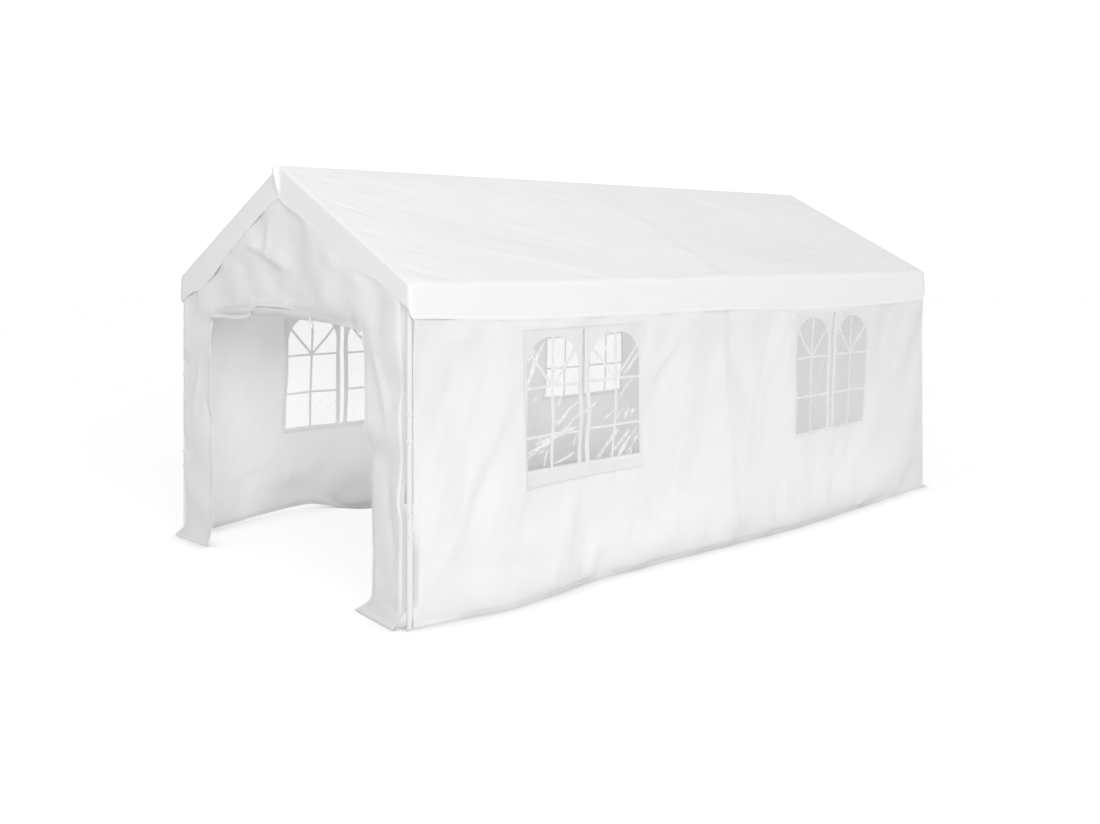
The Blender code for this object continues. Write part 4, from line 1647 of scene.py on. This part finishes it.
def make_zips(name, drape, is_open):
    """Coil zips up both sides of the doorway: one half each where the door is rolled up, or closed."""
    bm = bmesh.new()
    pitch = 0.011
    for way in (-1, 1):
        for height in np.arange(HEM_LOW + 0.03, DOOR_TOP - 0.01, pitch):
            spot = drape.at(way * DOOR_HALF, height)
            out = drape.normals(way * DOOR_HALF, height)
            made = bmesh.ops.create_cube(bm, size=1.0)["verts"]
            width = 0.004 if is_open else 0.008
            bmesh.ops.scale(bm, vec=(width, 0.0024, pitch * 0.55), verts=made)
            bmesh.ops.translate(bm, vec=Vector(spot + out * 0.0016), verts=made)
        top = drape.at(way * DOOR_HALF, DOOR_TOP - 0.05)
        out = drape.normals(way * DOOR_HALF, DOOR_TOP - 0.05)
        add_slider(bm, Vector(top + out * 0.004))
    bmesh.ops.recalc_face_normals(bm, faces=bm.faces)
    return new_piece(name, bm, "plastic", smooth=False)


def add_slider(bm, spot):
    """A zip's slider with its pull hanging from it."""
    body = bmesh.ops.create_cube(bm, size=1.0)["verts"]
    bmesh.ops.scale(bm, vec=(0.013, 0.006, 0.018), verts=body)
    bmesh.ops.translate(bm, vec=spot, verts=body)
    edges = list({edge for vert in body for edge in vert.link_edges})
    bmesh.ops.bevel(bm, geom=edges, offset=0.0015, segments=2, profile=0.5, affect="EDGES", material=-1)
    pull = bmesh.ops.create_cone(bm, segments=8, radius1=0.003, radius2=0.002, depth=0.030, cap_ends=True)["verts"]
    bmesh.ops.translate(bm, vec=spot + Vector((0.0, math.copysign(0.004, spot.y), -0.018)), verts=pull)


class TENT_OT_rolled_door(bpy.types.Operator):
    """Make the rolled-up door and the ties that hold it"""

    bl_idname = "tent.make_rolled_door"
    bl_label = "Make Rolled Door"

    def execute(self, context):
        ties_at = (-0.43, 0.375, 0.93)
        flat_length = DOOR_TOP - 0.02
        core = 0.008
        pitch = math.pi * (ROLL_RADIUS**2 - core**2) / flat_length
        turns = (ROLL_RADIUS - core) / pitch
        around, along = round(turns * 22), 64
        half = DOOR_HALF - 0.04
        bm = bmesh.new()
        bmesh.ops.create_grid(bm, x_segments=along, y_segments=around, size=0.5)
        for vert in bm.verts:
            vert.co.x, vert.co.y = vert.co.x * 2 * half, (vert.co.y + 0.5) * flat_length
        keep_plan(bm)
        plan = np.array([vert.co.xy for vert in bm.verts])
        x, run = plan[:, 0], plan[:, 1]
        radius = np.sqrt(core**2 + run * pitch / math.pi)
        turn = 2 * math.pi * (radius - core) / pitch
        waist = sum(np.exp(-(((x - spot) / 0.035) ** 2)) for spot in ties_at)
        lumps = 1 + 0.10 * hills(x / 0.16, turn / 2.5, 81) - 0.20 * waist
        angle = turn - 2.2 + 0.25 * hills(x / 0.6, 0 * x, 82)
        y = ROLL_Y + radius * lumps * np.cos(angle)
        z = through(ROLL_LINE, x) + radius * lumps * np.sin(angle) * 0.94
        for vert, place in zip(bm.verts, np.stack([x, y, z], 1)):
            vert.co = place
        bmesh.ops.recalc_face_normals(bm, faces=bm.faces)
        roll = sheet_piece("rolled_door_sheet", bm, "sheet", 0.0009, 0)
        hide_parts("rolled_door")
        ties = [make_tie(f"door_tie_{index + 1}", spot, index > 0) for index, spot in enumerate(ties_at)]
        return {"FINISHED"}


def make_tie(name, x, has_tails):
    """A woven tape round the roll, knotted in front. Its ends hang or are tucked in."""
    bm = bmesh.new()
    centre = Vector((x, ROLL_Y, float(through(ROLL_LINE, np.array(x)))))
    radius = ROLL_RADIUS * 0.86
    made = bmesh.ops.create_grid(bm, x_segments=2, y_segments=36, size=0.5)["verts"]
    for vert in made:
        angle = 2 * math.pi * (vert.co.y + 0.5)
        vert.co = centre + Vector((vert.co.x * 0.014, radius * math.cos(angle), radius * math.sin(angle)))
    bmesh.ops.remove_doubles(bm, verts=bm.verts, dist=0.0004)
    knot = bmesh.ops.create_icosphere(bm, subdivisions=2, radius=0.010)["verts"]
    spot = centre + Vector((0.0, -radius * 0.72 - 0.004, -radius * 0.72))
    bmesh.ops.scale(bm, vec=(1.2, 0.8, 0.9), verts=knot)
    bmesh.ops.translate(bm, vec=spot, verts=knot)
    for way, length in ((-1, 0.075), (1, 0.058)) if has_tails else ():
        tail = bmesh.ops.create_grid(bm, x_segments=2, y_segments=10, size=0.5)["verts"]
        for vert in tail:
            down = 0.5 - vert.co.y
            swing = way * (0.010 + 0.016 * down**0.7)
            curl = 0.006 * math.sin(4.0 * down + way)
            twist = 0.8 * down * way
            across = vert.co.x * 0.012
            offset = Vector((swing + across * math.cos(twist), curl + across * math.sin(twist), -length * down))
            vert.co = spot + offset
    bmesh.ops.recalc_face_normals(bm, faces=bm.faces)
    return sheet_piece(name, bm, "hem", 0.0012, 0)


class TENT_OT_straps(bpy.types.Operator):
    """Make the straps that hold the walls to the posts"""

    bl_idname = "tent.make_straps"
    bl_label = "Make Straps"

    def execute(self, context):
        for side, way in SIDES.items():
            for label, y in (("front", -POST_Y), ("middle", 0.0), ("rear", POST_Y)):
                heights = [0.54, 1.245]
                if label == "front":
                    heights += [0.655, 1.09]
                post_straps(f"straps_{label}_{side}", way * POST_X, y, way, heights)
        return {"FINISHED"}


def post_straps(name, x, y, way, heights):
    """Bands round one post, each with the end of its strap standing off on the outside."""
    bm = bmesh.new()
    end = -1 if y < 0 else 1
    radius = POST_RADIUS + 0.0022
    for height in heights:
        made = bmesh.ops.create_grid(bm, x_segments=2, y_segments=28, size=0.5)["verts"]
        for vert in made:
            angle = 2 * math.pi * (vert.co.y + 0.5)
            spot = Vector((radius * math.cos(angle), radius * math.sin(angle), vert.co.x * 0.022))
            vert.co = Vector((x, y, height)) + spot
        tab = bmesh.ops.create_grid(bm, x_segments=2, y_segments=5, size=0.5)["verts"]
        for vert in tab:
            out = vert.co.y + 0.5
            curl = 0.004 * math.sin(out * 2.2)
            sideways = way * (radius * 0.72 + out * 0.005)
            endways = end * (radius * 0.72 + out * 0.007) + curl
            vert.co = Vector((x, y, height)) + Vector((sideways, endways, vert.co.x * 0.020))
    bmesh.ops.remove_doubles(bm, verts=bm.verts, dist=0.0004)
    bmesh.ops.recalc_face_normals(bm, faces=bm.faces)
    return sheet_piece(name, bm, "hem", 0.0014, 0)


class TENT_OT_frame(bpy.types.Operator):
    """Give the steel frame its powder coat"""

    bl_idname = "tent.finish_frame"
    bl_label = "Finish Frame"

    def execute(self, context):
        words = ("post_", "foot_plate_", "eave_", "ridge_", "rafter_")
        for name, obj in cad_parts.items():
            if name.startswith(words):
                obj.data.materials.clear()
                obj.data.materials.append(finish("steel"))
                obj.data.shade_smooth()
                obj.data.set_sharp_from_angle(angle=math.radians(40))
        return {"FINISHED"}


class TENT_OT_stage(bpy.types.Operator):
    """Make the floor, the light and the camera"""

    bl_idname = "tent.make_stage"
    bl_label = "Make Stage"

    def execute(self, context):
        scene = context.scene
        make_floor(scene.tent_colours.floor)
        make_light(scene)
        make_camera(scene)
        scene.view_settings.view_transform = "Standard"
        scene.view_settings.look = "None"
        return {"FINISHED"}


def make_floor(colour):
    """A wide white floor that glows white to the camera, with painted contact shade where something stands on it."""
    bm = bmesh.new()
    bmesh.ops.create_grid(bm, x_segments=1, y_segments=1, size=60.0)
    mesh = bpy.data.meshes.new("floor")
    bm.to_mesh(mesh)
    bm.free()
    floor = bpy.data.objects.new("floor", mesh)
    bpy.context.scene.collection.objects.link(floor)
    material, tree, shader = new_material("studio_floor")
    shader.inputs["Base Color"].default_value = (*colour, 1)
    shader.inputs["Roughness"].default_value = 1.0
    shader.inputs["Specular IOR Level"].default_value = 0.0
    seen = tree.nodes.new("ShaderNodeBsdfPrincipled")
    seen.inputs["Base Color"].default_value = (0.33, 0.33, 0.33, 1)
    seen.inputs["Roughness"].default_value = 1.0
    seen.inputs["Specular IOR Level"].default_value = 0.0
    seen.inputs["Emission Strength"].default_value = 0.72
    # Ambient occlusion dims the camera's glow near hems and feet: painted contact shade
    shades = []
    for distance, share in ((0.16, 0.60), (0.05, 0.62)):
        near = add_node(tree, "ShaderNodeAmbientOcclusion", distance=distance, samples=8)
        shade = math_node(tree, "MULTIPLY_ADD", near.outputs["AO"], share)
        shade.node.inputs[2].default_value = 1 - share
        shades.append(shade)
    tree.links.new(math_node(tree, "MULTIPLY", *shades), seen.inputs["Emission Color"])
    path = tree.nodes.new("ShaderNodeLightPath")
    show_mix(tree, path.outputs["Is Camera Ray"], shader.outputs["BSDF"], seen.outputs["BSDF"])
    mesh.materials.append(material)


def aimed(direction):
    """The turn that points a lamp along a direction."""
    return Vector(direction).to_track_quat("-Z", "Y").to_euler()


def add_lamp(name, light, turn, location=(0.0, 0.0, 0.0)):
    """Puts a light in the scene, turned and in its place."""
    lamp = bpy.data.objects.new(name, light)
    lamp.location = location
    lamp.rotation_euler = turn
    bpy.context.scene.collection.objects.link(lamp)
    return lamp


def add_softbox(name, size, energy, location, turn):
    """A soft area lamp that the camera doesn't see. Its size is one side or two."""
    light = bpy.data.lights.new(name, "AREA")
    light.energy = energy
    if isinstance(size, tuple):
        light.shape = "RECTANGLE"
        light.size, light.size_y = size
    else:
        light.size = size
    add_lamp(name, light, turn, location).visible_camera = False


def make_light(scene):
    """A white room all round, large soft lamps in front and inside, and a broad key light from the right."""
    world = bpy.data.worlds.new("studio")
    scene.world = world
    world.use_nodes = True
    tree = world.node_tree
    tree.nodes.clear()
    tree.nodes.new("ShaderNodeOutputWorld")
    room, backdrop = (tree.nodes.new("ShaderNodeBackground") for _ in range(2))
    for node, strength in ((room, 0.70), (backdrop, 1.05)):
        node.inputs["Color"].default_value = (1, 1, 1, 1)
        node.inputs["Strength"].default_value = strength
    path = tree.nodes.new("ShaderNodeLightPath")
    seen = path.outputs["Is Camera Ray"]
    show_mix(tree, seen, room.outputs["Background"], backdrop.outputs["Background"], "OUTPUT_WORLD")
    add_softbox("inner_fill", (2.4, 5.2), 37.0, (0.2, -0.2, 0.04), (math.pi, 0.0, 0.0))
    add_softbox("front_softbox", 2.5, 190.0, (7.5, -9.5, 5.0), aimed((-6.5, 6.8, -3.8)))
    add_softbox("gable_softbox", 1.2, 8.0, (0.8, -5.6, 4.4), aimed((-0.8, 2.65, -2.1)))
    sun = bpy.data.lights.new("key", "SUN")
    sun.energy = 1.15
    sun.angle = math.radians(30)
    add_lamp("key", sun, aimed((-0.90, 0.27, -0.38)))


def make_camera(scene):
    """The photograph's camera: level, with its picture shifted so that upright lines stay upright."""
    data = bpy.data.cameras.new("photo_camera")
    data.sensor_width = 36.0
    data.lens = 36.977
    data.shift_y = -0.1461
    data.clip_end = 200.0
    camera = bpy.data.objects.new("photo_camera", data)
    camera.location = (6.8092, -6.8063, 2.1913)
    camera.rotation_euler = (math.radians(90), 0.0, math.radians(46.971))
    scene.collection.objects.link(camera)
    scene.camera = camera


class TENT_PT_panel(bpy.types.Panel):
    """The tent's steps in order"""

    bl_idname = "TENT_PT_panel"
    bl_label = "Marquee Tent"
    bl_space_type = "VIEW_3D"
    bl_region_type = "UI"
    bl_category = "Tent"

    def draw(self, context):
        column = self.layout.column()
        for settings in (context.scene.tent_sizes, context.scene.tent_colours):
            for label in settings.__annotations__:
                column.prop(settings, label)
        for operator in OPERATORS:
            column.operator(operator.bl_idname)


OPERATORS = (
    TENT_OT_stage,
    TENT_OT_frame,
    TENT_OT_hang_sheets,
    TENT_OT_roof,
    TENT_OT_side_walls,
    TENT_OT_end_walls,
    TENT_OT_rolled_door,
    TENT_OT_straps,
)
CLASSES = (TentSizes, TentColours, *OPERATORS, TENT_PT_panel)


def register():
    for cls in CLASSES:
        bpy.utils.register_class(cls)
    bpy.types.Scene.tent_sizes = bpy.props.PointerProperty(type=TentSizes)
    bpy.types.Scene.tent_colours = bpy.props.PointerProperty(type=TentColours)


def unregister():
    del bpy.types.Scene.tent_colours
    del bpy.types.Scene.tent_sizes
    for cls in reversed(CLASSES):
        bpy.utils.unregister_class(cls)


def main():
    """Dresses the frame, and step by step."""
    register()
    bpy.ops.tent.make_stage()
    bpy.ops.tent.finish_frame()
    bpy.ops.tent.hang_sheets()
    bpy.ops.tent.make_roof()
    bpy.ops.tent.make_side_walls()
    bpy.ops.tent.make_end_walls()
    bpy.ops.tent.make_rolled_door()
    bpy.ops.tent.make_straps()


if __name__ == "__main__":
    main()
